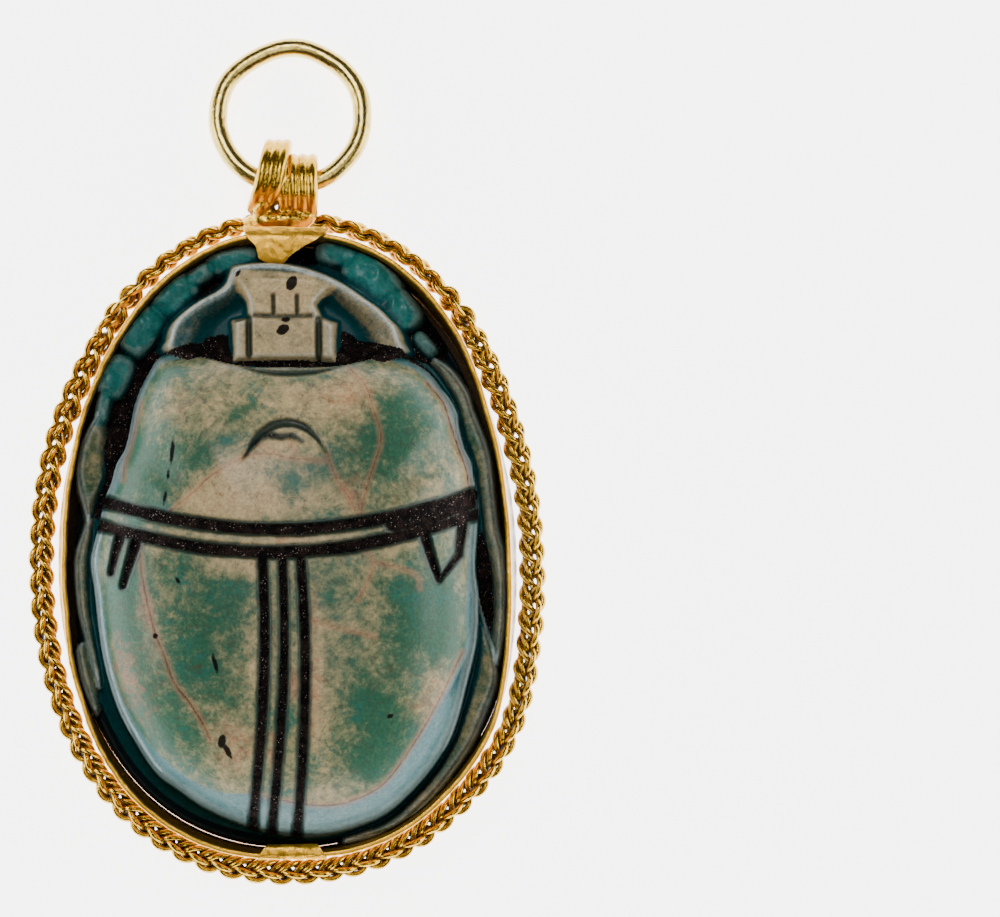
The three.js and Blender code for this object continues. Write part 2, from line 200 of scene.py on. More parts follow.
def noise(x, y, size, seed=0):
    """Smooth noise between -1 and 1 with bumps of about a size."""
    def lattice(i, j):
        h = np.sin(i * 127.1 + j * 311.7 + seed * 74.7) * 43758.5453
        return 2 * (h - np.floor(h)) - 1
    u, v = x / size, y / size
    i, j = np.floor(u), np.floor(v)
    fu, fv = u - i, v - j
    fu, fv = fu * fu * (3 - 2 * fu), fv * fv * (3 - 2 * fv)
    low = lattice(i, j) * (1 - fu) + lattice(i + 1, j) * fu
    high = lattice(i, j + 1) * (1 - fu) + lattice(i + 1, j + 1) * fu
    return low * (1 - fv) + high * fv


def layered_noise(x, y, size, layers=4, seed=0):
    """Noise with finer and weaker layers added."""
    total = sum(noise(x, y, size / 2 ** k, seed + k) / 2 ** k for k in range(layers))
    return total / (2 - 0.5 ** (layers - 1))


# ---------- the beetle's carving, in millimetres ----------

BACK_CENTRE = (-0.15, -8.2)
# The crack that runs round the crown of the back, and the outline where its flanks end.
CREASE = [(8.0, 5.3), (9.2, 4.15), (9.9, 3.2), (10.3, 2.1), (10.65, 1.0), (11.05, -0.15), (11.45, -1.3),
          (11.6, -2.6), (11.6, -4.5), (11.45, -7.5), (11.4, -10.5), (11.25, -12.9), (9.75, -15.95),
          (8.25, -18.6), (6.35, -21.2), (4.45, -22.3), (2.6, -22.7), (0.3, -22.5), (-1.95, -22.0),
          (-4.2, -21.9), (-6.2, -21.0), (-8.2, -19.4), (-9.9, -17.2), (-10.9, -15.0), (-11.55, -12.0),
          (-11.8, -9.6), (-12.05, -7.2), (-11.8, -5.0), (-11.4, -3.4), (-10.6, -1.8), (-10.35, -0.7),
          (-9.95, 0.6), (-9.6, 2.0), (-9.3, 3.4), (-8.7, 4.8), (-7.9, 5.7), (-5.0, 6.3), (0.0, 6.6),
          (5.0, 6.2)]
BACK_FOOT = [(8.4, 5.75), (9.3, 5.0), (9.95, 4.15), (10.5, 3.4), (10.9, 2.6), (11.0, 1.75), (11.35, 0.4),
             (11.8, -0.55), (11.95, -1.4), (12.1, -2.3), (12.25, -3.7), (12.15, -5.4), (12.05, -7.3),
             (12.25, -9.2), (12.15, -12.0), (11.6, -14.5), (10.7, -17.8), (9.55, -19.95), (7.85, -21.95),
             (6.0, -23.45), (3.3, -24.4), (0.95, -24.65), (-1.6, -24.3), (-3.5, -23.7), (-5.45, -22.8),
             (-7.05, -21.7), (-8.5, -20.6), (-9.8, -18.7), (-11.0, -16.4), (-11.85, -13.6),
             (-12.25, -11.2), (-12.5, -8.9), (-12.75, -6.9), (-12.3, -4.9), (-12.05, -3.8),
             (-11.85, -2.9), (-11.45, -1.9), (-11.1, -0.7), (-10.6, 0.2), (-10.35, 1.0), (-10.15, 2.1),
             (-9.95, 3.1), (-9.6, 4.1), (-9.15, 5.0), (-8.6, 5.95), (-8.0, 6.4), (-6.5, 6.8), (-4.0, 7.1),
             (0.0, 7.2), (4.0, 7.0), (6.8, 6.5)]
BACK_FOOT_LEVEL = 4.4
CROWN_POWER = 2.6
CROWN_FALL = 0.45
CROWN_CLEARANCE = 0.05
BACK_SIDE_FALL = 8
HEAD_CENTRE = (-0.2, 7.8)
HEAD_EDGE = [(7.15, 6.3), (7.1, 7.15), (6.85, 7.9), (6.35, 8.5), (5.6, 9.25), (4.65, 9.9), (3.65, 10.6),
             (2.7, 11.1), (1.7, 11.5), (0.45, 11.85), (-1.0, 12.03), (-2.5, 11.97), (-3.35, 11.8),
             (-3.65, 11.4), (-3.95, 10.7), (-4.55, 10.2), (-5.65, 9.6), (-6.65, 8.85), (-7.3, 8.1),
             (-7.55, 7.3), (-7.5, 6.4), (-5.0, 5.2), (0.0, 4.2), (4.8, 5.0)]
CHEEK_LEVEL = 6.5  # the cheeks' floor, and how far they rise to their rim
CHEEK_RISE = 1.5
TOWER_LEVEL = 9.15
HEAD_SIDE_FALL = 30
# The raised middle of the head, and the lines cut in it: points and half width.
TOWER = [(-3.6, 11.5), (2.68, 11.1), (2.95, 10.65), (1.95, 9.35), (2.25, 8.65), (3.12, 8.25), (3.2, 5.6),
         (-3.6, 5.6), (-3.6, 8.4), (-2.65, 8.65), (-2.75, 9.5)]
HEAD_CUTS = [([(-2.1, 8.64), (-0.3, 8.52), (1.5, 8.62)], 0.15), ([(-2.48, 8.5), (-2.46, 6.1)], 0.25),
             ([(1.97, 8.4), (1.99, 6.0)], 0.27), ([(-0.93, 9.9), (-0.9, 8.7)], 0.17),
             ([(0.58, 9.9), (0.6, 8.7)], 0.16), ([(-3.35, 8.3), (-2.7, 8.42)], 0.06)]
# Knobs of the toothed shins: x, y, long and short radius, turn in degrees, top.
KNOBS = [(-3.75, 12.45, 1.6, 0.85, 10, 5.5), (-5.75, 11.55, 1.0, 0.62, 30, 5.4),
         (-7.35, 10.15, 1.6, 1.15, 47, 5.65), (-9.45, 7.95, 1.65, 1.15, 52, 5.6),
         (-11.2, 5.05, 1.4, 1.05, 66, 5.5), (-12.0, 3.0, 1.15, 0.5, 78, 5.1),
         (3.3, 12.95, 1.5, 0.9, -12, 5.3), (5.3, 11.2, 1.95, 1.45, -48, 5.8),
         (7.1, 9.2, 1.4, 1.15, -55, 5.65), (8.75, 7.05, 0.95, 0.5, -50, 5.3)]
# Legs: the outer line and the inner line, each from head to tail, and the level of the top.
LEGS = [([(-12.3, 2.6), (-12.75, 1.8), (-13.15, 1.0), (-13.4, 0.25), (-13.55, -0.7), (-13.58, -1.4),
          (-13.45, -2.3), (-13.25, -3.0), (-13.05, -3.8), (-12.95, -4.4)],
         [(-12.0, 2.5), (-11.85, 1.3), (-11.95, 0.4), (-11.86, -0.7), (-11.76, -1.5), (-12.2, -2.5),
          (-12.5, -3.2), (-12.8, -4.2)], 5.5),
        ([(-12.85, -4.0), (-13.15, -5.0), (-13.5, -6.0), (-13.68, -6.9), (-13.65, -8.0), (-13.55, -9.3),
          (-13.35, -10.6), (-13.0, -11.9), (-12.7, -13.2), (-12.4, -14.2), (-12.2, -15.0)],
         [(-12.65, -4.2), (-12.75, -5.5), (-12.9, -7.0), (-12.92, -8.6), (-12.85, -10.2), (-12.55, -12.0),
          (-12.25, -13.4), (-12.1, -14.6)], 5.35),
        ([(-13.3, -12.2), (-13.6, -12.7), (-13.3, -14.5), (-12.9, -15.6), (-12.4, -16.6)],
         [(-13.15, -12.4), (-12.85, -13.5), (-12.5, -14.8), (-12.35, -15.4), (-12.3, -16.4)], 4.95),
        ([(9.4, 6.1), (10.3, 5.5), (11.0, 4.65), (11.5, 3.8), (11.82, 2.75), (12.2, 1.8), (12.6, 0.75),
          (12.87, -0.2), (13.0, -1.25), (13.14, -2.5), (13.25, -3.6), (13.45, -5.1), (13.75, -6.3),
          (13.87, -7.8), (13.89, -9.0), (13.85, -10.9), (13.66, -12.4), (13.39, -13.5)],
         [(9.2, 5.85), (9.8, 5.0), (10.3, 4.2), (10.8, 3.2), (11.05, 2.2), (11.3, 1.0), (11.65, 0.1),
          (11.95, -0.9), (12.15, -2.0), (12.4, -3.5), (12.65, -5.0), (12.95, -6.2), (13.3, -7.8),
          (13.4, -9.8), (13.3, -11.5), (13.25, -13.3)], 5.5),
        ([(12.2, -9.2), (12.5, -10.4), (12.87, -11.8), (13.2, -12.8), (13.3, -13.6), (13.35, -14.3),
          (13.2, -15.1), (12.75, -16.3), (11.6, -18.9), (9.7, -21.5), (8.2, -23.05), (6.7, -24.2),
          (3.7, -24.95)],
         [(12.1, -9.2), (12.15, -10.6), (12.1, -12.5), (11.75, -14.5), (10.85, -17.8), (9.7, -20.0),
          (8.0, -22.1), (6.2, -23.6), (4.4, -24.4), (3.6, -24.75)], 5.0)]
KNOB_POWER = 3.2  # how square the knobs are
LIMB_SIDE_FALL = 6
PLINTH = Egg(13.7, 19.1, 0.0, -5.9, 0.08, 2.2)
PLINTH_TOP = 4.3
PLINTH_SIDE_FALL = 60

CROSS_LINES = [(-5.3, 0.0165, -0.6), (-6.75, 0.0165, -0.9)]  # y in the middle, bow, x of the middle
CROSS_HALF = 0.42  # half the width of a cross line
MERGED_HALF = 0.6
CROSS_DEPTH = 0.5
MARK_DEPTH = 0.42
WING_BEND = (-0.11, 0.006, -11.9)
WING_LINES = [(-1.25, 0.0, 0.34), (0.0, 0.0, 0.31), (1.15, 0.028, 0.33)]  # apart, splay, half width
SHOULDER_MARKS = [([(-10.6, -5.3), (-11.25, -7.9)], 0.34), ([(-9.5, -5.7), (-10.45, -8.75)], 0.36),
                  ([(8.55, -4.9), (9.65, -8.4)], 0.34), ([(11.25, -4.0), (10.95, -6.7)], 0.36),
                  ([(10.95, -6.7), (9.7, -8.35)], 0.24)]
MERGED_CROSS = [(6.8, -4.9), (8.9, -4.35), (11.5, -3.3)]
CRESCENT = [(-2.75, -0.75), (-2.0, 0.55), (-0.9, 1.35), (0.1, 1.55), (1.1, 1.3), (1.9, 0.6), (2.5, -0.3)]
FILL_FROM = 4.6  # dirt fills the corner at the head from this y on
CRESCENT_DIRT = [(-2.6, -0.55), (-1.9, 0.3), (-1.2, 0.72), (-0.4, 0.66), (0.4, 0.72), (1.0, 0.35)]
LIP_MARK = [(-3.1, 5.3), (-1.3, 4.95), (0.0, 4.85), (1.7, 4.95), (3.4, 5.3)]
# Cracks: points and half width.
CRACKS = [([(3.9, 5.3), (5.0, 4.0), (5.5, 2.5), (6.0, 0.6), (5.6, -1.0), (5.0, -2.9), (4.7, -4.6)], 0.04),
          ([(2.6, -0.4), (3.2, -2.1), (3.9, -3.1), (4.5, -4.4)], 0.035),
          ([(-7.7, -4.3), (-5.9, -2.9), (-4.7, -1.8), (-2.8, -0.7)], 0.03),
          ([(-2.6, -0.6), (-1.2, -0.45), (0.4, -0.75), (2.6, -0.9)], 0.04),
          ([(-1.9, 0.1), (-1.1, -0.1), (-0.6, -0.5)], 0.03), ([(0.2, 0.5), (0.5, -0.3), (0.4, -0.7)], 0.03),
          ([(-9.35, -6.3), (-9.2, -8.0), (-8.9, -9.6), (-8.4, -11.6), (-7.8, -13.2), (-7.1, -15.0),
            (-6.1, -16.3), (-5.3, -17.6), (-4.8, -18.6)], 0.07),
          ([(11.2, -12.9), (9.7, -15.95), (8.2, -18.6), (6.3, -21.2), (4.4, -22.3), (2.6, -22.7),
            (0.3, -22.5), (-1.9, -22.0)], 0.045),
          ([(1.7, -11.1), (3.6, -11.6), (5.7, -12.1)], 0.02),
          ([(4.6, -6.2), (5.5, -7.3), (5.0, -9.0), (4.5, -9.8)], 0.02),
          ([(5.5, -7.3), (7.1, -7.7), (8.3, -8.2), (8.5, -9.0)], 0.02),
          ([(-9.4, 3.2), (-9.75, 1.6), (-10.1, 0.2), (-10.4, -0.7), (-10.55, -1.9)], 0.04),
          ([(8.9, 4.4), (9.9, 3.2), (10.3, 2.1), (10.65, 1.0), (11.05, -0.15), (11.45, -1.3),
            (11.6, -2.5)], 0.06)]
# Black pits and nicks in the glaze: x, y, half length, half width, turn in degrees.
PITS = [(-4.5, -13.8, 0.6, 0.12, -75), (-6.9, -8.5, 0.22, 0.1, -60), (-8.35, -12.0, 0.17, 0.16, 0),
        (-4.1, -18.7, 0.42, 0.24, 80), (-3.75, -19.3, 0.5, 0.16, -62), (-7.3, -0.2, 0.75, 0.12, 84),
        (-7.55, -1.7, 0.3, 0.08, 84), (-7.75, -3.2, 0.4, 0.1, 80), (6.6, -17.1, 0.18, 0.12, 20),
        (0.25, 10.75, 0.5, 0.32, 70), (-0.3, 7.7, 0.42, 0.3, 30), (-0.1, 8.35, 0.28, 0.16, 0),
        (-3.2, 11.4, 0.25, 0.1, 60)]
# Where the glaze is thick and green, or, below 0, worn to the stone and partly painted light: x, y, two
# radii, turn, strength.
# Below 0, the paler middle of the back is partly painted light from above, and the strongest such patch, on
# the left of the pronotum at x -3.2, y -2.5, is a painted highlight.
GREEN_PATCHES = [(-10.2, -9.5, 1.6, 5.5, 0, 0.5), (-9.5, -15.5, 1.8, 3.5, 20, 0.35),
                 (-9.8, -0.5, 1.0, 2.5, 0, 0.4), (9.5, -8.5, 1.8, 3.5, 0, 0.25),
                 (-7.6, -1.6, 3.4, 2.0, 0, 0.42), (-5.0, -0.2, 2.4, 1.3, 15, 0.25),
                 (-2.9, 2.3, 1.3, 0.5, 28, 0.3), (-7.7, 5.0, 1.8, 0.45, 15, 0.35),
                 (6.6, -0.1, 2.4, 2.4, 0, 0.42), (6.2, 1.9, 2.4, 1.7, 0, 0.25), (7.8, 3.3, 2.0, 1.2, 0, 0.2),
                 (0.0, -2.3, 1.0, 1.0, 0, 0.45), (2.6, -1.1, 1.0, 1.3, 0, 0.3),
                 (-3.5, -10.6, 2.0, 3.0, 0, 0.34), (-6.2, -12.0, 1.7, 3.6, -8, 0.22),
                 (-5.2, -13.9, 1.8, 1.4, 0, 0.22), (-3.6, -15.7, 1.5, 1.3, 0, 0.2),
                 (-7.0, -7.8, 2.0, 0.9, 0, 0.12), (-11.0, -10.7, 1.0, 1.5, 0, 0.15),
                 (-6.9, -18.1, 3.0, 2.0, -35, 0.25),
                 (3.4, -9.4, 1.6, 1.6, 0, 0.15), (2.3, -8.1, 1.0, 1.0, 0, 0.2),
                 (8.8, -10.7, 2.5, 2.0, -35, 0.3), (10.3, -12.0, 1.2, 2.5, 0, 0.2),
                 (8.0, -12.6, 2.0, 1.8, 0, 0.22), (5.6, -14.2, 2.4, 2.0, 0, 0.22),
                 (5.6, -16.8, 2.0, 2.2, 0, 0.3), (5.3, -20.0, 2.1, 1.6, 0, 0.45),
                 (7.0, -17.5, 1.6, 1.8, 0, 0.2),
                 (-3.2, -2.5, 3.0, 2.2, 20, -0.85), (-0.5, -3.6, 5.0, 0.9, 0, -0.3),
                 (-0.6, 0.2, 1.6, 0.9, 0, -0.45), (2.9, 3.0, 3.6, 1.7, 0, -0.4),
                 (-1.0, 3.0, 2.4, 1.2, 0, -0.25), (-6.0, 3.0, 2.6, 1.2, 35, -0.2),
                 (-2.8, -7.6, 2.2, 0.8, 0, -0.5),
                 (-2.0, -13.0, 0.5, 5.5, 0, -0.3), (-9.8, -13.5, 1.6, 3.4, 12, -0.12),
                 (1.9, -13.0, 0.6, 4.5, 0, -0.25), (2.3, -18.6, 0.9, 2.4, 0, -0.3),
                 (6.0, -7.2, 2.4, 0.9, 0, -0.2), (8.8, -15.6, 1.0, 2.2, -28, -0.15),
                 (9.2, -2.2, 1.8, 1.3, 0, -0.15), (0.3, -6.0, 6.5, 0.5, 0, -0.4),
                 (-3.2, -18.8, 1.3, 2.2, 0, -0.15)]
# Where the worn stone is pink.
PINK_PATCHES = [(-6.2, 3.2, 2.6, 1.0, 40, 0.6), (2.9, 3.4, 2.4, 1.2, 0, 0.7), (4.2, -3.0, 1.0, 1.3, 0, 0.7),
                (-3.0, -3.6, 2.8, 1.0, 0, 0.4), (8.2, -2.6, 1.7, 1.0, 0, 0.25),
                (-10.4, -13.9, 1.1, 2.4, 10, 0.6), (-9.0, -16.5, 1.3, 1.6, 15, 0.35),
                (0.5, -15.1, 0.5, 1.2, 0, 0.9), (1.8, -16.0, 0.5, 4.0, 0, 0.8),
                (1.7, -10.0, 0.6, 2.2, 0, 0.5),
                (-2.0, -8.0, 0.9, 1.0, 0, 0.5), (-3.2, -18.8, 1.4, 2.0, 0, 0.7),
                (-0.7, -19.4, 0.5, 1.6, 0, 0.9), (-0.7, -13.0, 0.4, 2.0, 0, 0.5),
                (8.8, -16.2, 1.0, 2.2, -28, 0.6), (4.7, -7.0, 1.0, 0.8, 0, 0.5),
                (-8.9, -11.0, 0.6, 4.0, 12, 0.5), (-0.4, 10.2, 2.4, 1.3, 0, 0.3),
                (-11.9, -4.7, 1.6, 0.4, -20, 0.9), (0.2, -5.9, 1.4, 0.3, 0, 0.7)]
GREEN_BASE = 0.66  # how green the glaze is between the patches
# Where dirt lies between the beetle and its legs: ovals as above.
DIRT_PLACES = [(-10.6, 2.2, 2.3, 6.5, -14), (12.8, -8.9, 0.9, 4.2, 2), (8.2, 8.0, 3.0, 1.3, -50),
               (1.0, 13.4, 3.0, 1.1, 0), (-5.2, 11.0, 2.6, 1.0, 35)]


def oval_share(x, y, oval, power=2.0):
    """How far out a place lies in a turned oval: 0 in its middle, 1 on its edge."""
    middle_x, middle_y, long, short, turn = oval[:5]
    c, s = math.cos(math.radians(turn)), math.sin(math.radians(turn))
    u = ((x - middle_x) * c + (y - middle_y) * s) / long
    v = ((y - middle_y) * c - (x - middle_x) * s) / short
    return (np.abs(u) ** power + np.abs(v) ** power) ** (1 / power)


def outline_distance(x, y, corners):
    """Distance to a closed outline, negative inside."""
    closed = np.array(corners + corners[:1], float)
    away = np.abs(line_distance(x, y, closed)[0])
    inside = np.zeros(x.shape, bool)
    for (ax, ay), (bx, by) in zip(closed[:-1], closed[1:]):
        if ay != by:
            inside ^= ((ay > y) != (by > y)) & (x < (bx - ax) * (y - ay) / (by - ay) + ax)
    return np.where(inside, -away, away)


def patches(x, y, places):
    """Soft patches added together."""
    total = np.zeros(x.shape)
    for place in places:
        total = total + place[5] * np.exp(-oval_share(x, y, place) ** 2.4 * 0.9)
    return total


def back_surface(x, y):
    """The domed back: its height, and how many millimetres a place lies out from its crack and foot."""
    out, foot = polar_share(x, y, BACK_CENTRE, polar_curve(BACK_FOOT, BACK_CENTRE))
    crease = polar_share(x, y, BACK_CENTRE, polar_curve(CREASE, BACK_CENTRE))[1]
    away = out * foot
    rise = STONE_TOP - CROWN_CLEARANCE - BACK_FOOT_LEVEL
    dome = BACK_FOOT_LEVEL + rise * np.maximum(1 - out ** CROWN_POWER, 0) ** CROWN_FALL
    return dome - BACK_SIDE_FALL * np.maximum(away - foot, 0), away - crease, away - foot


def shield_front(x):
    """Where the wing shield ends towards the head."""
    return 6.35 - 1.0 * np.exp(-((np.abs(x - 0.15) / 5.2) ** 4))


def tapered(away, share, width, blunt=0.7):
    """Distance to the edge of a stroke that is widest in its middle."""
    return np.abs(away) - width * np.sin(math.pi * np.clip(share, 0.03, 0.97)) ** blunt


def cuts(x, y):
    """Distance to the edge of the nearest cut line, negative inside it, and how deep it goes."""
    strokes = []
    for middle, bow, at in CROSS_LINES:
        away = np.abs(y - middle - bow * (x - at) ** 2) / np.hypot(1, 2 * bow * (x - at))
        strokes.append((away - CROSS_HALF - 0.05 * layered_noise(x, y, 1.4, 3, 5), CROSS_DEPTH))
    middle, bend, at = WING_BEND
    past = np.maximum(np.maximum(y + 6.6, -24.6 - y), 0)
    for apart, splay, width in WING_LINES:
        line = middle - bend * (y - at) ** 2 + apart + splay * np.maximum(-6.7 - y, 0)
        away = np.abs(x - line) - width - 0.045 * layered_noise(x + apart * 7, y, 1.2, 3, 8)
        strokes.append((np.hypot(np.maximum(away, 0), past) + np.minimum(away, 0), MARK_DEPTH))
    for points, width in SHOULDER_MARKS:
        away, share = line_distance(x, y, np.array(points, float))
        strokes.append((np.abs(away) - width * (1.15 - 0.45 * share), MARK_DEPTH))
    away = np.abs(line_distance(x, y, curve_through(MERGED_CROSS))[0])
    strokes.append((away - MERGED_HALF, CROSS_DEPTH))
    dirt_line = line_distance(x, y, curve_through(CRESCENT_DIRT))
    strokes.append((tapered(*dirt_line, 0.16) - 0.08 * layered_noise(x, y, 0.4, 3, 15), 0.2))
    edge = np.full(x.shape, FAR)
    depth = np.zeros(x.shape)
    for away, deep in strokes:
        depth = np.maximum(depth, deep * (1 - smoothstep(-0.22, 0.07, away)))
        edge = np.minimum(edge, away)
    return edge, depth


def green_cuts(x, y):
    """The cuts that are green and clean: the crescent, the lip and the lines on the head."""
    strokes = [(tapered(*line_distance(x, y, curve_through(line)), width), deep)
               for line, width, deep in ((CRESCENT, 0.34, 0.3), (LIP_MARK, 0.24, 0.35))]
    for points, width in HEAD_CUTS:
        strokes.append((np.abs(line_distance(x, y, np.array(points, float))[0]) - width, 0.4))
    edge = np.full(x.shape, FAR)
    depth = np.zeros(x.shape)
    for away, deep in strokes:
        depth = np.maximum(depth, deep * (1 - smoothstep(-0.2, 0.1, away)))
        edge = np.minimum(edge, away)
    return edge, depth


def head_surface(x, y):
    """The head: cheeks hollow towards the middle, and the raised shield and block between them."""
    out, reach = polar_share(x, y, HEAD_CENTRE, polar_curve(HEAD_EDGE, HEAD_CENTRE))
    height = CHEEK_LEVEL + CHEEK_RISE * smoothstep(0.6, 0.93, out)
    tower_edge = outline_distance(x, y, TOWER)
    tower = 1 - smoothstep(-0.45, 0.25, tower_edge)
    tower_top = TOWER_LEVEL - 0.36 * np.maximum(y - 8.7, 0) - 0.035 * (x + 0.3) ** 2
    height = height + (np.maximum(tower_top, height) - height) * tower
    return height - HEAD_SIDE_FALL * np.maximum(out - 0.985, 0), (out - 1) * reach, tower_edge


def leg_surface(x, y):
    """The legs and the knobs of the shins, and how far a place lies from the legs' outer lines."""
    limbs = np.full(x.shape, -FAR)
    for knob in KNOBS:
        share = oval_share(x, y, knob, KNOB_POWER)
        dent = 0.25 * layered_noise(x, y, 0.9, 2, 27)
        limbs = smooth_max(limbs, knob[5] + dent - 0.7 * share ** 5
                           - LIMB_SIDE_FALL * np.maximum(share - 1, 0), 0.1)
    knobs = limbs
    outer_line = np.full(x.shape, FAR)
    for outer, inner, top in LEGS:
        outside, inside = curve_through(outer, 3), curve_through(inner, 3)
        away = np.abs(line_distance(x, y, outside)[0])
        within = -outline_distance(x, y, [*map(tuple, outside), *map(tuple, inside[::-1])])
        rounding = 0.5 * (1 - smoothstep(0, 0.4, within)) ** 2
        leg = top - rounding - 0.4 * np.clip(away - 0.3, 0, 1.5) - LIMB_SIDE_FALL * np.maximum(-within, 0)
        limbs = smooth_max(limbs, leg + 0.12 * layered_noise(x, y, 1.3, 2, 28), 0.1)
        outer_line = np.minimum(outer_line, away)
    return limbs, knobs, outer_line


def carve(x, y):
    """The beetle at places on the table's plane: its height, and what its glaze is painted from."""
    plinth_out = PLINTH.share(x, y)
    grit = 0.06 * noise(x, y, 0.3, 21) + 0.04 * noise(x, y, 0.16, 22)
    dirty = np.full(x.shape, FAR)
    for oval in DIRT_PLACES:
        dirty = np.minimum(dirty, oval_share(x, y, oval))
    dirty = 1 - smoothstep(0.8, 1.15, dirty + 0.2 * layered_noise(x, y, 1.6, 3, 29))
    plinth = PLINTH_TOP + grit * (0.3 + 1.2 * dirty) - 1.1 * smoothstep(0.9, 0.99, plinth_out)
    plinth = plinth - PLINTH_SIDE_FALL * np.maximum(plinth_out - 1, 0)
    limbs, knobs, outer_line = leg_surface(x, y)
    head, head_out, tower_edge = head_surface(x, y)
    back, past_crease, past_foot = back_surface(x, y)
    behind_front = smoothstep(-0.12, 0.14, shield_front(x) - y)
    back = back * behind_front + np.minimum(back, 6.4) * (1 - behind_front)
    edge, depth = cuts(x, y)
    green_edge, green_depth = green_cuts(x, y)
    low = smooth_max(smooth_max(plinth, limbs, 0.15), head, 0.12)
    on_back = smoothstep(-0.1, 0.1, back - low)
    height = smooth_max(low, back, 0.12) - depth * smoothstep(5.0, 7.5, back) * on_back
    height = height - green_depth * smoothstep(5.5, 7.0, height)
    # Dirt fills the corner where the head meets the shield.
    fill = 8.1 + 1.5 * grit - 0.03 * x ** 2 - 1.4 * smoothstep(5.7, 7.0, y)
    height = np.maximum(height, np.where((past_foot < 0) & (y > FILL_FROM), fill, -FAR))
    on_head = smoothstep(-0.1, 0.1, head - smooth_max(plinth, limbs, 0.15)) * (1 - on_back)
    head_dirt = 7.75 - 0.33 * np.maximum(np.abs(x + 0.2) - 3.6, 0) + 0.3 * layered_noise(x, y, 0.8, 3, 30)
    head_dirt = smoothstep(-0.25, 0.25, head_dirt - y) * smoothstep(0.1, 0.35, tower_edge)
    return {
        "height": height,
        "cut": np.where(on_back > 0.5, edge, FAR),
        "groove": green_edge,
        "back": on_back,
        "past_crease": past_crease,
        "past_foot": past_foot,
        "head": on_head,
        "head_dirt": on_head * head_dirt,
        "limb": smoothstep(-0.15, 0.25, limbs - plinth) * (1 - on_back),
        "knob": smoothstep(-0.15, 0.15, knobs - plinth) * (1 - on_back) * (1 - on_head),
        "filled": smoothstep(-0.12, 0.05, fill - height + 0.02) * (y > FILL_FROM) * (past_foot < 0.05),
        "tower_edge": tower_edge,
        "head_out": head_out,
        "outer_line": outer_line,
        "dirty": dirty,
        "deep": smoothstep(0.955, 0.985, plinth_out),
    }


EDGE_LEVEL = 2.8  # the stone's side goes straight down from here
WALL_SHEET = 0.35
WALL_CLEARANCE = 0.05


def wall_place(turn, z, offset=0.0):
    """A place on the wall's outer face, which leans in from foot to rim, moved out by an offset."""
    share = min(z / WALL_TOP, 1)
    foot, rim = FOOT.point(turn, offset), RIM.point(turn, offset)
    return (foot[0] + (rim[0] - foot[0]) * share, foot[1] + (rim[1] - foot[1]) * share)


RIDGE_SIZE = 0.25  # how far ridges and hollows are compared with what is round them
HOLLOW_SIZE = 0.7


class Relief:
    """The carving on an even grid of places, so that it can be blurred and looked up."""

    STEP = 0.12

    def __init__(self):
        across = np.arange(-16, 16, self.STEP)
        along = np.arange(-28, 16, self.STEP)
        self.corner = (across[0], along[0])
        self.height = np.maximum(carve(*np.meshgrid(across, along))["height"], STONE_FOOT)
        self.hollow = {size: self.blur(self.height, size) - self.height
                       for size in (RIDGE_SIZE, HOLLOW_SIZE)}
        self.steep = np.hypot(*np.gradient(self.blur(self.height, 0.3), self.STEP))

    def blur(self, field, size):
        """A field smoothed over a distance."""
        reach = int(3 * size / self.STEP) + 1
        kernel = np.exp(-0.5 * (np.arange(-reach, reach + 1) * self.STEP / size) ** 2)
        kernel /= kernel.sum()
        padded = np.pad(field, reach, mode="edge")
        rows = np.apply_along_axis(np.convolve, 1, padded, kernel, "valid")
        return np.apply_along_axis(np.convolve, 0, rows, kernel, "valid")

    def at(self, field, x, y):
        """A field's value at places between the grid's."""
        u = np.clip((x - self.corner[0]) / self.STEP, 0, field.shape[1] - 1.001)
        v = np.clip((y - self.corner[1]) / self.STEP, 0, field.shape[0] - 1.001)
        i, j = v.astype(int), u.astype(int)
        fv, fu = v - i, u - j
        low = field[i, j] * (1 - fu) + field[i, j + 1] * fu
        high = field[i + 1, j] * (1 - fu) + field[i + 1, j + 1] * fu
        return low * (1 - fv) + high * fv

    def silhouette(self):
        """The stone's outline round its middle: the outermost place where it stands over its edge."""
        turns = np.linspace(-math.pi, math.pi, 720, endpoint=False)
        inner_wall = [wall_place(turn, 4.0, -WALL_SHEET - WALL_CLEARANCE) for turn in turns]
        steps, limit = polar_curve(inner_wall, BACK_CENTRE, per_span=1)
        shares = np.linspace(0.8, 1.0, 160)
        radius = limit[:, None] * shares
        x = BACK_CENTRE[0] + radius * np.cos(steps)[:, None]
        y = BACK_CENTRE[1] + radius * np.sin(steps)[:, None]
        stands = self.at(self.height, x, y) > EDGE_LEVEL
        last = len(shares) - 1 - np.argmax(stands[:, ::-1], axis=1)
        reach = limit * shares[last]
        kernel = np.full(7, 1 / 7)
        return steps, np.convolve(np.concatenate([reach[-3:], reach, reach[:3]]), kernel, "valid")


# ---------- paint ----------

def shade(red, green, blue):
    """A screen colour, 0 to 255, as the light that it stands for."""
    parts = np.array([red, green, blue]) / 255
    linear = np.where(parts <= 0.04045, parts / 12.92, ((parts + 0.055) / 1.055) ** 2.4)
    return tuple(float(part) for part in linear)


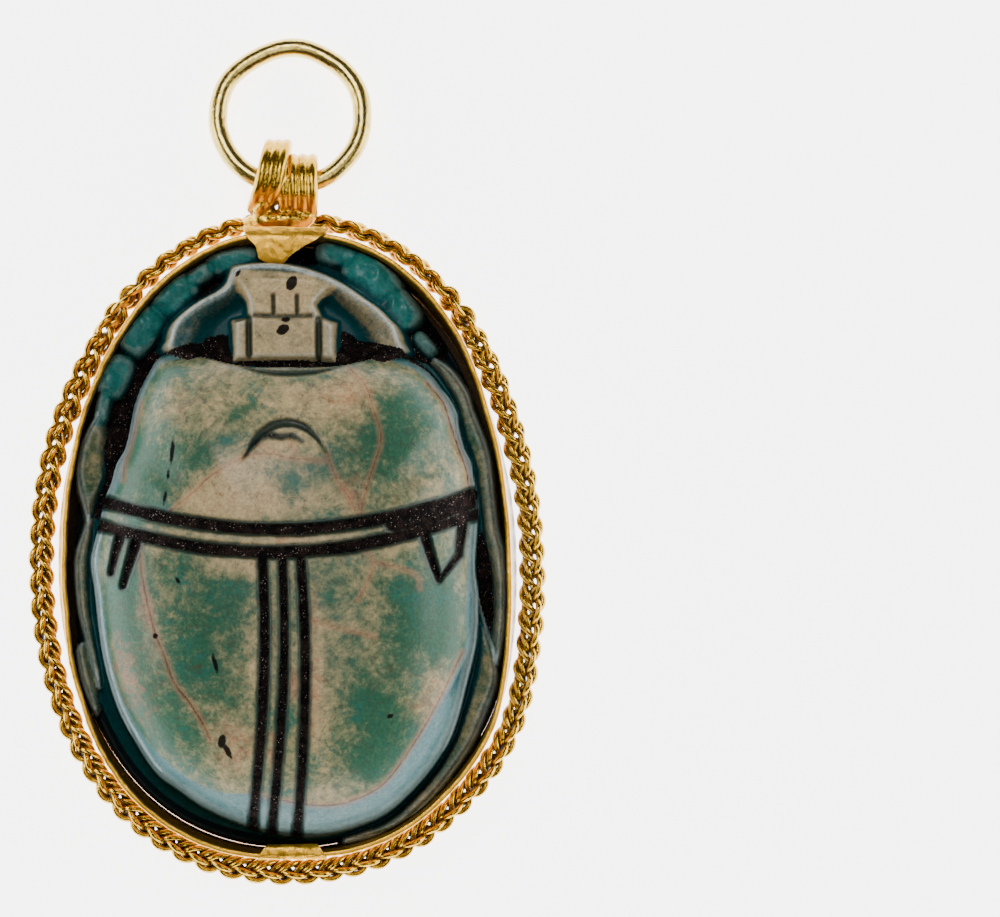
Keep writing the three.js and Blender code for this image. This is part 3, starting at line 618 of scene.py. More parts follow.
class Wire:
    """A socket in a material, written with in arithmetic."""

    def __init__(self, paint, socket):
        self.paint = paint
        self.socket = socket

    def maths(self, operation, *values):
        """A sum on values, as one node."""
        return self.paint.node("ShaderNodeMath", {"operation": operation}, dict(enumerate(values)))

    def __add__(self, other):
        return self.maths("ADD", self, other)

    def __sub__(self, other):
        return self.maths("SUBTRACT", self, other)

    def __mul__(self, other):
        return self.maths("MULTIPLY", self, other)

    def __radd__(self, other):
        return self.maths("ADD", other, self)

    def __rsub__(self, other):
        return self.maths("SUBTRACT", other, self)

    def __rmul__(self, other):
        return self.maths("MULTIPLY", other, self)

    def most(self, other):
        """The higher of this and another value."""
        return self.maths("MAXIMUM", self, other)

    def between(self, low, high, start=0.0, end=1.0):
        """The value as it goes from low to high, smoothed to go from start to end."""
        inputs = {0: self, 1: low, 2: high, 3: start, 4: end}
        return self.paint.node("ShaderNodeMapRange", {"interpolation_type": "SMOOTHSTEP"}, inputs)


class Paint:
    """A material in the making, which ends in one shader."""

    def __init__(self, name):
        self.material = bpy.data.materials.new(name)
        self.material.use_nodes = True
        self.tree = self.material.node_tree
        self.tree.nodes.clear()
        self.place = self.node("ShaderNodeTexCoord", out="Object")

    def node(self, kind, settings=None, inputs=None, out=0):
        """A new node with its settings, then its sockets' values or links; it gives one output."""
        made = self.tree.nodes.new(kind)
        for name, value in (settings or {}).items():
            setattr(made, name, value)
        for name, value in (inputs or {}).items():
            if isinstance(value, Wire):
                self.tree.links.new(value.socket, made.inputs[name])
            else:
                made.inputs[name].default_value = value
        return Wire(self, made.outputs[out]) if len(made.outputs) else made

    def kept(self, name):
        """A number kept on the piece's points."""
        return self.node("ShaderNodeAttribute", {"attribute_name": name}, out="Fac")

    def speckle(self, size, detail=3.0, rough=0.55, place=None):
        """Noise round 0.5 with features of a size in millimetres."""
        inputs = {"Vector": place or self.place, "Scale": 1 / (size * MM), "Detail": detail,
                  "Roughness": rough}
        return self.node("ShaderNodeTexNoise", {}, inputs)

    def cells(self, size, feature="F1", place=None):
        """Distance within a pattern of cells of a size in millimetres."""
        inputs = {"Vector": place or self.place, "Scale": 1 / (size * MM)}
        return self.node("ShaderNodeTexVoronoi", {"feature": feature}, inputs, out="Distance")

    def pushed(self, size, amount):
        """Object places pushed about by noise; both are in millimetres."""
        noise_colour = self.node("ShaderNodeTexNoise", {}, {"Vector": self.place, "Scale": 1 / (size * MM)},
                                 out="Color")
        centred = self.node("ShaderNodeVectorMath", {"operation": "SUBTRACT"},
                            {0: noise_colour, 1: (0.5, 0.5, 0.5)})
        scaled = self.node("ShaderNodeVectorMath", {"operation": "SCALE"},
                           {0: centred, "Scale": 2 * amount * MM})
        return self.node("ShaderNodeVectorMath", {"operation": "ADD"}, {0: self.place, 1: scaled})

    def mix(self, under, over, share):
        """One colour laid over another by a share."""
        settings = {"data_type": "RGBA", "blend_type": "MIX"}
        under, over = (c if isinstance(c, Wire) else (*c, 1.0) for c in (under, over))
        return self.node("ShaderNodeMix", settings, {0: share, 6: under, 7: over}, out=2)

    def raised(self, *bumps):
        """Normals from bumps, each a height and its depth in millimetres."""
        normal = None
        for height, depth in bumps:
            inputs = {"Height": height, "Distance": depth * MM}
            if normal is not None:
                inputs["Normal"] = normal
            normal = self.node("ShaderNodeBump", {}, inputs)
        return normal

    def finish(self, sockets):
        """Ends the material in its shader."""
        shader = self.node("ShaderNodeBsdfPrincipled", {}, sockets)
        self.node("ShaderNodeOutputMaterial", {}, {"Surface": shader})
        return self.material


def glaze_paint(look):
    """The worn blue-green glaze over pale stone, with dirt in its hollows, painted highlights along its
    edges and a painted sheen round the edge of the back.
    """
    paint = Paint("carved_glaze")
    broad = paint.speckle(2.6, 4.0, 0.6)
    cloud = paint.speckle(0.9, 5.0, 0.65)
    streak = paint.speckle(0.5, 4.0, 0.7, paint.pushed(3.0, 1.2))
    grain = paint.speckle(0.2, 4.0, 0.7)
    fine = paint.speckle(0.06, 2.0, 0.6)
    # Stone shows where the green is low; in the middle of the back this is partly painted light, with a
    # painted highlight on the left of the pronotum.
    green = paint.kept("green") + (broad - 0.5) + (cloud - 0.5) * 1.1 + (streak - 0.5) * 0.9
    body = paint.mix(look.stone, look.green, green.between(-0.05, 1.1))
    pink = (paint.kept("pink") * 0.9 + (streak - 0.5) * 2.2 + (0.5 - broad) * 0.6).between(0.2, 1.1)
    body = paint.mix(body, look.pink, pink * 0.55)
    bluish = (streak + broad - 1.0).between(0.0, 0.4) * paint.kept("back")
    body = paint.mix(body, look.turquoise, bluish * 0.45)
    knob = (paint.kept("knob") * 1.3 + (cloud - 0.5) * 1.1 + (broad - 0.5) * 0.8).between(0.3, 1.2)
    body = paint.mix(body, look.turquoise, knob * 0.95)
    # Round the back's edge: bluish glaze, partly a painted sheen.
    edge = (paint.kept("edge") + (cloud - 0.5) * 0.5).between(0.1, 0.9)
    body = paint.mix(body, look.rim, edge * 0.85)
    teal = (paint.kept("teal") + (cloud - 0.5) * 0.5 + (grain - 0.5) * 0.3).between(0.12, 0.95)
    body = paint.mix(body, look.teal, teal)
    pale = (paint.kept("ridge") + (cloud - 0.5) * 0.8).between(0.2, 1.0)
    body = paint.mix(body, look.worn, pale * 0.3)
    # Random lighter and darker mottling of the glaze's tone.
    tone_mottling = (1.2 - grain * 0.9 - streak * 0.4).between(0.15, 0.95, 0.5, 1.4)
    body = paint.node("ShaderNodeVectorMath", {"operation": "SCALE"}, {0: body, "Scale": tone_mottling})
    # Painted highlight: bluish white lines along the outer edges of the back, the legs and the head.
    lit = paint.kept("lit") + (cloud - 0.5) * 0.16 + (grain - 0.5) * 0.12
    body = paint.mix(body, look.lit, (1 - lit.between(0.02, 0.16)) * 0.75)
    specks = (1 - paint.cells(0.7).between(0.05, 0.15)) * broad.between(0.42, 0.6)
    body = paint.mix(body, look.crack, specks * 0.6)
    net = paint.cells(1.3, "DISTANCE_TO_EDGE", paint.pushed(1.0, 0.35))
    net = (1 - net.between(0.004, 0.04)) * (streak + cloud).between(0.9, 1.2) * paint.kept("back")
    body = paint.mix(body, look.crack, net * 0.4)
    crack = paint.kept("crack") + (grain - 0.5) * 0.12 + (fine - 0.5) * 0.05
    body = paint.mix(body, look.pink, (1 - crack.between(0.0, 0.35)) * 0.25)
    crack_line = (1 - crack.between(-0.06, 0.03)) * cloud.between(0.36, 0.55, 0.3, 1.0)
    body = paint.mix(body, look.crack, crack_line)
    groove = paint.kept("groove") + (cloud - 0.5) * 0.2
    body = paint.mix(body, look.fringe, (1 - groove.between(-0.16, 0.12)) * 0.92)
    cut = paint.kept("cut") + (cloud - 0.5) * 0.34 + (grain - 0.5) * 0.22
    body = paint.mix(body, look.fringe, (1 - cut.between(0.0, 0.26)) * 0.9)
    dirt = (paint.kept("dirt") + (cloud - 0.5) * 0.8 + (grain - 0.5) * 0.6).between(0.35, 0.6)
    dirt = dirt.most(1 - cut.between(-0.16, 0.0))
    crumbs = paint.cells(0.15)
    soil = paint.mix(look.dirt, look.soil, cloud.between(0.42, 0.66))
    soil = paint.mix(soil, look.crumb, (1 - crumbs.between(0.16, 0.34)) * streak.between(0.48, 0.6) * 0.9)
    soil = paint.mix(soil, look.pit, (fine - 0.02).between(0.46, 0.56) * 0.8)
    body = paint.mix(body, soil, dirt)
    # Blackens the plinth's edge, in the narrow gap beside the wall.
    deep = (paint.kept("deep") + (cloud - 0.5) * 0.3).between(0.3, 0.8)
    body = paint.mix(body, look.pit, deep * 0.9)
    pit = 1 - (paint.kept("pit") + (grain - 0.5) * 0.2).between(-0.02, 0.05)
    body = paint.mix(body, look.pit, pit * 0.97)
    dull = dirt.most(pit).most(deep)
    rough = 0.36 + (grain - 0.45) * 0.35 + dull * 0.45
    normal = paint.raised((streak, 0.05), (grain, 0.035), (fine, 0.01),
                          (crumbs * dirt, 0.1), (crack.between(-0.03, 0.05), 0.03))
    return paint.finish({"Base Color": body, "Roughness": rough, "Coat Weight": (1 - dull) * 0.3,
                         "Coat Roughness": 0.3, "Specular IOR Level": 0.06, "Normal": normal})


def gold_paint(name, tone, look, scratch=0.35, hammer=0.05, dirt_from=0.25, dirt_to=0.85):
    """Old gold: dark in its hollows, brighter where it is rubbed, and pale where a painted reflection is
    marked.
    """
    paint = Paint(name)
    hollow = paint.kept("hollow")
    cloud = paint.speckle(0.7, 4.0, 0.6)
    grain = paint.speckle(0.12, 3.0, 0.65)
    dents = paint.speckle(0.45, 2.0, 0.5)
    dirt = (hollow + (cloud - 0.5) * 0.5 + (grain - 0.5) * 0.5).between(dirt_from, dirt_to)
    metal = paint.mix(tone, look.copper, cloud.between(0.45, 0.75) * 0.55)
    # Painted reflection: a pale, near white colour where a piece marks one.
    pale = (paint.kept("painted_reflection") + (cloud - 0.5) * 0.5).between(0.2, 0.8)
    metal = paint.mix(metal, look.painted_reflection, pale)
    metal = paint.mix(metal, look.patina, dirt * 0.94)
    rough = scratch + (grain - 0.5) * 0.3 + dirt * 0.35
    normal = paint.raised((dents, hammer), (grain, 0.016))
    return paint.finish({"Base Color": metal, "Metallic": 1 - dirt * 0.7, "Roughness": rough,
                         "Normal": normal})


def floor_paint(look):
    """Plain pale paper."""
    paint = Paint("pale_paper")
    tone = (*look.floor, 1.0)
    return paint.finish({"Base Color": tone, "Roughness": 0.9, "Specular IOR Level": 0.1,
                         "Emission Color": tone, "Emission Strength": look.floor_glow})


# ---------- making pieces ----------

def nothing_selected():
    """Leaves edit mode and deselects everything."""
    if bpy.context.mode != "OBJECT":
        bpy.ops.object.mode_set(mode="OBJECT")
    bpy.ops.object.select_all(action="DESELECT")


def only(piece):
    """Makes a piece the one that operators act on."""
    nothing_selected()
    piece.select_set(True)
    bpy.context.view_layer.objects.active = piece


def places(piece):
    """A piece's points in the carving's millimetres."""
    out = np.empty(len(piece.data.vertices) * 3)
    piece.data.vertices.foreach_get("co", out)
    out = out.reshape(-1, 3) / MM
    out[:, :2] -= SHIFT
    return out


def put(piece, points):
    """Moves a piece's points to places in the carving's millimetres."""
    moved = np.array(points, float)
    moved[:, :2] += SHIFT
    piece.data.vertices.foreach_set("co", (moved * MM).ravel())
    piece.data.update()


def keep(piece, name, values):
    """Keeps a number on each of a piece's points, for its paint."""
    layer = piece.data.attributes.new(name, "FLOAT", "POINT")
    layer.data.foreach_set("value", np.asarray(values, np.float32))


def with_modifier(piece, kind, **settings):
    """Adds a modifier and applies it."""
    only(piece)
    modifier = piece.modifiers.new(kind.title(), kind)
    for name, value in settings.items():
        setattr(modifier, name, value)
    bpy.ops.object.modifier_apply(modifier=modifier.name)


def joined(pieces):
    """Several pieces made one."""
    nothing_selected()
    for piece in pieces:
        piece.select_set(True)
    bpy.context.view_layer.objects.active = pieces[0]
    bpy.ops.object.join()
    return pieces[0]


def placed(piece):
    """Puts an object's own move and turn into its mesh."""
    only(piece)
    bpy.ops.object.transform_apply(location=True, rotation=True, scale=True)


def sunk(piece, reach, rays=14, others=()):
    """How closed in each point is, from 0 to 1, by rays that meet metal within a reach in millimetres."""
    mesh = bmesh.new()
    mesh.from_mesh(piece.data)
    for other in others:
        mesh.from_mesh(other.data)
    tree = BVHTree.FromBMesh(mesh)
    mesh.free()
    rows = np.arange(rays) + 0.5
    polar = np.arccos(1 - 0.92 * rows / rays)
    spin = math.pi * (3 - math.sqrt(5)) * rows
    fan = np.stack([np.sin(polar) * np.cos(spin), np.sin(polar) * np.sin(spin), np.cos(polar)], 1)
    closed = np.zeros(len(piece.data.vertices))
    for vertex in piece.data.vertices:
        normal = vertex.normal
        turn = normal.to_track_quat("Z", "Y").to_matrix()
        start = vertex.co + normal * 0.02 * MM
        hits = 0.0
        for ray in fan:
            found = tree.ray_cast(start, turn @ Vector(ray), reach * MM)[3]
            if found is not None:
                hits += 1 - 0.5 * found / (reach * MM)
        closed[vertex.index] = hits / rays
    return closed


def handed_over(piece, name, material, slot, body, *nodes):
    """Names a finished piece, paints it, hangs it on the body that it rides on, and hides the CAD parts that
    it takes the place of.
    """
    piece.name = piece.data.name = name
    piece.data.materials.clear()
    piece.data.materials.append(material)
    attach(piece, body)
    if nodes:
        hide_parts(*nodes)


# ---------- settings ----------

def colour(name, description, red, green, blue):
    """A colour setting, given as a screen colour."""
    return bpy.props.FloatVectorProperty(name=name, description=description, subtype="COLOR",
                                         default=shade(red, green, blue), min=0, max=1)


def length(name, description, millimetres):
    """A length setting."""
    return bpy.props.FloatProperty(name=name, description=description, unit="LENGTH", precision=5,
                                   default=millimetres * MM, min=0)


class GlazeSettings(bpy.types.PropertyGroup):
    """The beetle's carving and glaze."""

    columns: bpy.props.IntProperty(name="Columns", description="Points across the carving", default=250)
    rows: bpy.props.IntProperty(name="Rows", description="Points along the carving", default=352)
    # Worn stone; in the middle of the back it also stands for painted light.
    stone: colour("Stone", "Worn stone, and painted light on the middle of the back", 176, 154, 112)
    green: colour("Green", "Thin green glaze", 42, 84, 62)
    pink: colour("Pink", "Pinkish stone", 186, 116, 84)
    turquoise: colour("Turquoise", "Glaze on the knobs of the legs", 0, 108, 104)
    # Bluish glaze, and a painted sheen, round the edge of the back.
    rim: colour("Rim glaze and sheen", "Bluish glaze and painted sheen round the edge of the back", 70, 112, 118)
    teal: colour("Teal", "Thick glaze in hollows and on steep sides", 0, 66, 70)
    worn: colour("Worn ridge", "Pale edges of the carving", 160, 170, 164)
    # A painted highlight: bluish white lines along edges.
    lit: colour("Painted edge highlight", "Painted bluish white highlight along edges", 178, 200, 204)
    fringe: colour("Fringe", "Dark glaze beside the cut lines", 2, 34, 28)
    crack: colour("Crack", "Brown stain of the cracks", 74, 42, 22)
    dirt: colour("Dirt", "Dirt packed in the cut lines", 14, 9, 9)
    soil: colour("Soil", "Browner dirt", 44, 32, 28)
    crumb: colour("Crumbs", "Pale grains in the dirt", 176, 160, 148)
    pit: colour("Pits", "Black pits", 5, 4, 6)


class GoldSettings(bpy.types.PropertyGroup):
    """The gold setting, its plaited border, loop and ring."""

    sheet: length("Sheet", "Thickness of the wall's strip", WALL_SHEET)
    plait_wire: length("Plait wire", "Radius of the plait's wires", 0.2)
    repeats: bpy.props.IntProperty(name="Repeats", description="Repeats of the plait round the wall",
                                   default=25)
    twists: bpy.props.IntProperty(name="Twists", description="Turns of each strand's pair of wires",
                                  default=37)
    ring_wire: length("Ring wire", "Thickness of the ring's wire", 1.23)
    yellow: colour("Yellow gold", "The setting's gold", 228, 170, 48)
    orange: colour("Plait gold", "The plait's deeper gold", 208, 164, 50)
    pale: colour("Pale gold", "The ring's paler gold", 216, 190, 104)
    copper: colour("Olive tone", "Duller patches", 160, 116, 34)
    # A painted reflection on the wall's outer face.
    painted_reflection: colour("Painted reflection", "Painted pale reflection on the wall's outer face", 226, 214, 214)
    patina: colour("Patina", "Brown dirt in the gold's hollows", 34, 19, 9)


class StudioSettings(bpy.types.PropertyGroup):
    """The floor, the lights and the camera."""

    distance: length("Distance", "Camera's height over the table", 660)
    tilt: bpy.props.FloatProperty(name="Tilt", description="Camera's lean from straight down",
                                  subtype="ANGLE", default=math.radians(3.5))
    lens: bpy.props.FloatProperty(name="Lens", description="Focal length in millimetres", default=366.7)
    floor: colour("Floor", "Pale paper", 245, 245, 245)
    floor_glow: bpy.props.FloatProperty(name="Floor glow", description="Light of the paper itself",
                                        default=5.5)


# ---------- the beetle ----------

# LIT_SHIFT narrows the finer lines of painted highlight.
LIT_SHIFT = 0.03  # how much narrower the finer pale lines are


def glaze_marks(relief, x, y):
    """What the glaze is painted from, at each point of the carving."""
    made = carve(x, y)
    hollow = relief.at(relief.hollow[HOLLOW_SIZE], x, y)
    ridge = -relief.at(relief.hollow[RIDGE_SIZE], x, y)
    steep = relief.at(relief.steep, x, y)
    back = made["back"]
    on_edge = smoothstep(-0.2, 0.2, made["past_crease"])
    cliff = smoothstep(1.2, 3.0, steep) * (1 - back)
    cheek = made["head"] * smoothstep(0.0, 0.3, made["tower_edge"]) * smoothstep(0.1, 0.4, -made["head_out"])
    cheek = cheek * (1 - 0.35 * smoothstep(2.0, 4.5, x))
    clean_gap = (1 - back) * (1 - made["limb"]) * (1 - made["head"])
    right_flank = back * smoothstep(0.1, 0.35, made["past_crease"]) * smoothstep(-3.0, -5.0, y) * (x > 9.5)
    right_flank = right_flank * smoothstep(-17.5, -14.0, y)
    head_top = made["head"] * (1 - smoothstep(-0.3, 0.0, made["tower_edge"]))
    hollow_teal = np.clip(hollow * 1.6, 0, 0.9) * (1 - 0.8 * head_top)
    teal = clean_gap * 0.9 + cliff * 0.5 * (1 - head_top) + hollow_teal + cheek * 0.8 + right_flank * 0.9
    dirt = clean_gap * made["dirty"] * 0.95 + made["filled"] * 0.95 + made["head_dirt"] * 0.9
    cracks = np.full(x.shape, 5.0)
    for points, width in CRACKS:
        cracks = np.minimum(cracks, np.abs(line_distance(x, y, curve_through(points))[0]) - width)
    pits = np.full(x.shape, 5.0)
    for pit in PITS:
        pits = np.minimum(pits, (oval_share(x, y, pit) - 1) * min(pit[2], pit[3]))
    # Painted highlight: thin lines along the back's outline, the legs' outer lines and the head's rim.
    outline = np.abs(made["past_foot"] + 0.14) + 0.6 * (1 - smoothstep(8.0, 10.5, np.abs(x)))
    inner_outline = np.abs(made["past_foot"] + 0.42) + np.where((x < -8) & (y < -5), LIT_SHIFT, FAR)
    outline = np.minimum(np.where(y < 5.6, outline, FAR), inner_outline)
    head_rim = np.abs(made["head_out"] + 0.2) + np.where((made["head"] > 0.4) & (y > 6.6), LIT_SHIFT, FAR)
    lit = np.minimum(np.minimum(outline, np.maximum(made["outer_line"] - 0.02, 0)), head_rim)
    return {
        "cut": made["cut"], "groove": made["groove"], "crack": cracks, "pit": pits,
        "back": back * (1 - on_edge),
        "green": np.clip(GREEN_BASE + patches(x, y, GREEN_PATCHES) - 0.5 * made["head"], 0, 1.2),
        "pink": np.clip(patches(x, y, PINK_PATCHES), 0, 1),
        # edge: the band round the back's crack, bluish glaze with a painted sheen.
        "edge": back * on_edge, "teal": np.clip(teal, 0, 1), "dirt": np.clip(dirt, 0, 1),
        # deep blackens the plinth's edge in the gap beside the wall.
        "deep": clean_gap * made["deep"], "knob": made["knob"], "lit": lit,
        "ridge": np.clip(ridge * 7 - 0.25, 0, 1) * smoothstep(0.0, 0.2, made["cut"]),
    }


class SCARAB_OT_beetle(bpy.types.Operator):
    """Carve the glazed stone beetle"""

    bl_idname = "scarab.beetle"
    bl_label = "Beetle"

    def execute(self, context):
        look = context.scene.scarab_glaze
        relief = Relief()
        nothing_selected()
        bpy.ops.mesh.primitive_grid_add(x_subdivisions=look.columns, y_subdivisions=look.rows, size=2)
        piece = bpy.context.object
        square = np.empty(len(piece.data.vertices) * 3)
        piece.data.vertices.foreach_get("co", square)
        u, v = square.reshape(-1, 3)[:, :2].T
        across, along = u * np.sqrt(1 - v * v / 2), v * np.sqrt(1 - u * u / 2)
        steps, reach = relief.silhouette()
        turn = np.arctan2(along * look.rows, across * look.columns)
        radius = np.interp(turn, np.append(steps, math.pi), np.append(reach, reach[0]))
        out = np.hypot(across, along)
        x = BACK_CENTRE[0] + out * radius * np.cos(turn)
        y = BACK_CENTRE[1] + out * radius * np.sin(turn)
        z = np.maximum(carve(x, y)["height"], EDGE_LEVEL)
        put(piece, np.stack([x, y, z], 1))
        only(piece)
        bpy.ops.object.mode_set(mode="EDIT")
        bpy.ops.mesh.select_mode(type="EDGE")
        bpy.ops.mesh.select_all(action="DESELECT")
        bpy.ops.mesh.select_non_manifold(extend=False, use_wire=False, use_boundary=True,
                                         use_multi_face=False, use_non_contiguous=False, use_verts=False)
        bpy.ops.mesh.extrude_region_move()
        bpy.ops.mesh.edge_face_add()
        bpy.ops.object.mode_set(mode="OBJECT")
        points = places(piece)
        foot = np.empty(len(piece.data.vertices), bool)
        piece.data.vertices.foreach_get("select", foot)
        points[foot, 2] = STONE_FOOT
        put(piece, points)
        only(piece)
        bpy.ops.object.mode_set(mode="EDIT")
        bpy.ops.mesh.select_all(action="SELECT")
        bpy.ops.mesh.normals_make_consistent(inside=False)
        bpy.ops.object.mode_set(mode="OBJECT")
        bpy.ops.object.shade_smooth()
        x, y, z = places(piece).T
        for name, values in glaze_marks(relief, x, y).items():
            keep(piece, name, values)
        handed_over(piece, "beetle", glaze_paint(look), "glaze", BODY, "scarab")
        return {"FINISHED"}


# ---------- the setting ----------

RIM_ROUNDING = 0.12
WALL_LEAN = 0.42  # how far the rim lies inside the foot
SOFT_ANGLE = math.radians(60)  # edges sharper than this are rounded
STRIP_COLUMNS = 560
WALL_LEVELS = (0.0, 1.6, 3.2, 4.8, 5.8, 6.3)


def turns_of(x, y):
    """The turn round the setting's middle at each place."""
    return np.arctan2((y - FOOT.y) / FOOT.half_length, (x - FOOT.x) / FOOT.half_width)


def sheet_piece(left, right, columns, rows):
    """A flat strip between two lines of places, each going the same way."""
    nothing_selected()
    bpy.ops.mesh.primitive_grid_add(x_subdivisions=columns, y_subdivisions=rows, size=2)
    piece = bpy.context.object
    square = np.empty(len(piece.data.vertices) * 3)
    piece.data.vertices.foreach_get("co", square)
    u, v = (square.reshape(-1, 3)[:, :2].T + 1) / 2
    west, east = (curve_through(side, 12) for side in (left, right))
    spots = [np.stack([np.interp(v * (len(side) - 1), np.arange(len(side)), side[:, k])
                       for k in range(3)], 1) for side in (west, east)]
    put(piece, spots[0] * (1 - u[:, None]) + spots[1] * u[:, None])
    return piece


class SCARAB_OT_wall(bpy.types.Operator):
    """Bend the gold strip round the stone, with its tongue over the head and its lap at the tail"""

    bl_idname = "scarab.wall"
    bl_label = "Wall"

    def execute(self, context):
        look = context.scene.scarab_gold
        strip = self.strip(look)
        tongue = self.tongue()
        lap = self.lap()
        wall = joined([strip, tongue, lap])
        keep(wall, "hollow", sunk(wall, 1.6, others=[bpy.data.objects["beetle"]]))
        x, y, z = places(wall).T
        turn = turns_of(x, y)
        foot = np.array(FOOT.point(turn)).T
        past_foot = np.hypot(x, y - FOOT.y) - np.hypot(foot[:, 0], foot[:, 1] - FOOT.y)
        # Painted reflection: the wall's outer face on the right side is painted pale, near white, as a
        # reflection of white surroundings.
        outside = smoothstep(-0.14, -0.02, past_foot + WALL_LEAN * z / WALL_TOP)
        facing = smoothstep(-0.75, -0.4, turn) * (1 - smoothstep(0.55, 0.9, turn))
        keep(wall, "painted_reflection", outside * facing * (z < WALL_TOP - 0.2))
        handed_over(wall, "wall", gold_paint("wall_gold", look.yellow, look), "gold", BODY, "bezel_band")
        return {"FINISHED"}

    def strip(self, look):
        """The strip round the stone, raised level by level and hammered a little at its rim."""
        nothing_selected()
        bpy.ops.mesh.primitive_circle_add(vertices=STRIP_COLUMNS, radius=1)
        piece = bpy.context.object
        turns = np.linspace(0, 2 * math.pi, STRIP_COLUMNS, endpoint=False)
        ring = np.array([(*wall_place(turn, 0, -WALL_SHEET), 0) for turn in turns])
        put(piece, ring)
        for level in WALL_LEVELS[1:] + (WALL_TOP - RIM_ROUNDING,):
            only(piece)
            bpy.ops.object.mode_set(mode="EDIT")
            bpy.ops.mesh.extrude_region_move(TRANSFORM_OT_translate={"value": (0, 0, MM)})
            bpy.ops.object.mode_set(mode="OBJECT")
            points = places(piece)
            moved = np.empty(len(points), bool)
            piece.data.vertices.foreach_get("select", moved)
            points[moved] = [(*wall_place(turn, level, -WALL_SHEET), level) for turn in turns]
            put(piece, points)
        with_modifier(piece, "SOLIDIFY", thickness=look.sheet, offset=1)
        with_modifier(piece, "BEVEL", width=RIM_ROUNDING * MM, segments=3, limit_method="ANGLE",
                      angle_limit=SOFT_ANGLE)
        points = places(piece)
        x, y, z = points.T
        near_rim = smoothstep(4.5, 6.4, z)
        turn = turns_of(x, y)
        west = smoothstep(0.1, 0.6, -np.cos(turn))
        wobble = layered_noise(x + z, y, 2.6, 3, 31) * 0.07 + layered_noise(x, y, 0.5, 2, 33) * 0.05 * west
        away = np.stack([np.cos(turn), np.sin(turn)], 1)
        points[:, :2] += away * (wobble * near_rim)[:, None]
        points[:, 2] += near_rim * layered_noise(x, y, 1.3, 3, 37) * 0.06
        put(piece, points)
        only(piece)
        bpy.ops.object.shade_smooth_by_angle(angle=math.radians(50))
        return piece

    def tongue(self):
        """The pointed tongue folded in over the head."""
        level = WALL_TOP - 0.12
        left = [(-2.95, 14.35, level - 0.35), (-2.72, 13.88, level), (-2.17, 13.3, level + 0.02),
                (-2.0, 12.8, level - 0.04), (-1.85, 12.5, level - 0.12), (-1.3, 12.28, level - 0.25)]
        right = [(2.6, 14.3, level - 0.35), (2.1, 13.8, level), (1.2, 13.42, level + 0.02),
                 (0.6, 13.05, level - 0.04), (0.0, 12.6, level - 0.12), (-0.45, 12.25, level - 0.25)]
        piece = sheet_piece(left, right, 60, 36)
        points = places(piece)
        x, y = points.T[:2]
        points[:, 2] += layered_noise(x, y, 1.1, 3, 41) * 0.1 + 0.1 * np.exp(-((x + 0.2) / 1.0) ** 2)
        points[:, 1] += layered_noise(x, y, 0.5, 2, 43) * 0.06
        put(piece, points)
        with_modifier(piece, "SOLIDIFY", thickness=0.3 * MM, offset=-1)
        with_modifier(piece, "BEVEL", width=0.06 * MM, segments=2, limit_method="ANGLE",
                      angle_limit=SOFT_ANGLE)
        only(piece)
        bpy.ops.object.shade_smooth()
        return piece

    def lap(self):
        """The lap where the strip's ends meet at the tail."""
        level = WALL_TOP - 0.05
        left = [(-1.9, -26.15, level - 0.2), (-1.8, -25.8, level), (-1.5, -25.4, level),
                (-1.3, -25.15, level - 0.2)]
        right = [(2.5, -26.1, level - 0.2), (2.35, -25.8, level), (2.1, -25.4, level),
                 (1.9, -25.1, level - 0.2)]
        piece = sheet_piece(left, right, 48, 16)
        points = places(piece)
        x, y = points.T[:2]
        points[:, 2] += layered_noise(x, y, 0.9, 3, 47) * 0.12
        put(piece, points)
        with_modifier(piece, "SOLIDIFY", thickness=0.35 * MM, offset=-1)
        with_modifier(piece, "BEVEL", width=0.08 * MM, segments=2, limit_method="ANGLE",
                      angle_limit=SOFT_ANGLE)
        only(piece)
        bpy.ops.object.shade_smooth()
        return piece


PLATE_CORNERS = 240
PLATE_RINGS = 9
PLATE_RING_WIDTH = 1.3


class SCARAB_OT_plate(bpy.types.Operator):
    """Lay the flat gold sheet under the stone"""

    bl_idname = "scarab.plate"
    bl_label = "Back plate"

    def execute(self, context):
        look = context.scene.scarab_gold
        nothing_selected()
        bpy.ops.mesh.primitive_circle_add(vertices=PLATE_CORNERS, radius=1, fill_type="NGON")
        piece = bpy.context.object
        turns = np.linspace(0, 2 * math.pi, PLATE_CORNERS, endpoint=False)
        edge = [(*FOOT.point(turn, -WALL_SHEET), PLATE_TOP) for turn in turns]
        put(piece, edge)
        only(piece)
        bpy.ops.object.mode_set(mode="EDIT")
        bpy.ops.mesh.select_all(action="SELECT")
        for _ in range(PLATE_RINGS):
            bpy.ops.mesh.inset(thickness=PLATE_RING_WIDTH * MM)
        bpy.ops.mesh.poke()
        bpy.ops.object.mode_set(mode="OBJECT")
        with_modifier(piece, "SOLIDIFY", thickness=PLATE_TOP * MM, offset=-1)
        points = places(piece)
        x, y, z = points.T
        away = 1 - FOOT.share(x, y)
        points[:, 2] += 0.05 * layered_noise(x, y, 5.0, 3, 51) * smoothstep(0.06, 0.2, away) * (z > 0.2)
        dent = 0.7 + 0.3 * layered_noise(x, y, 5, 3, 52)
        points[:, 2] += 0.12 * smoothstep(0.05, 0.3, away) * (z < 0.2) * dent
        put(piece, points)
        only(piece)
        bpy.ops.object.shade_smooth_by_angle(angle=math.radians(40))
        x, y, z = places(piece).T
        # The plate's top, inside the wall, is made dark brown; its underside stays bright gold.
        keep(piece, "hollow", np.where(z > 0.3, 0.9, 0.12))
        paint = gold_paint("plate_gold", look.yellow, look)
        handed_over(piece, "back_sheet", paint, "gold", BODY, "back_plate")
        return {"FINISHED"}


# ---------- the plaited border ----------

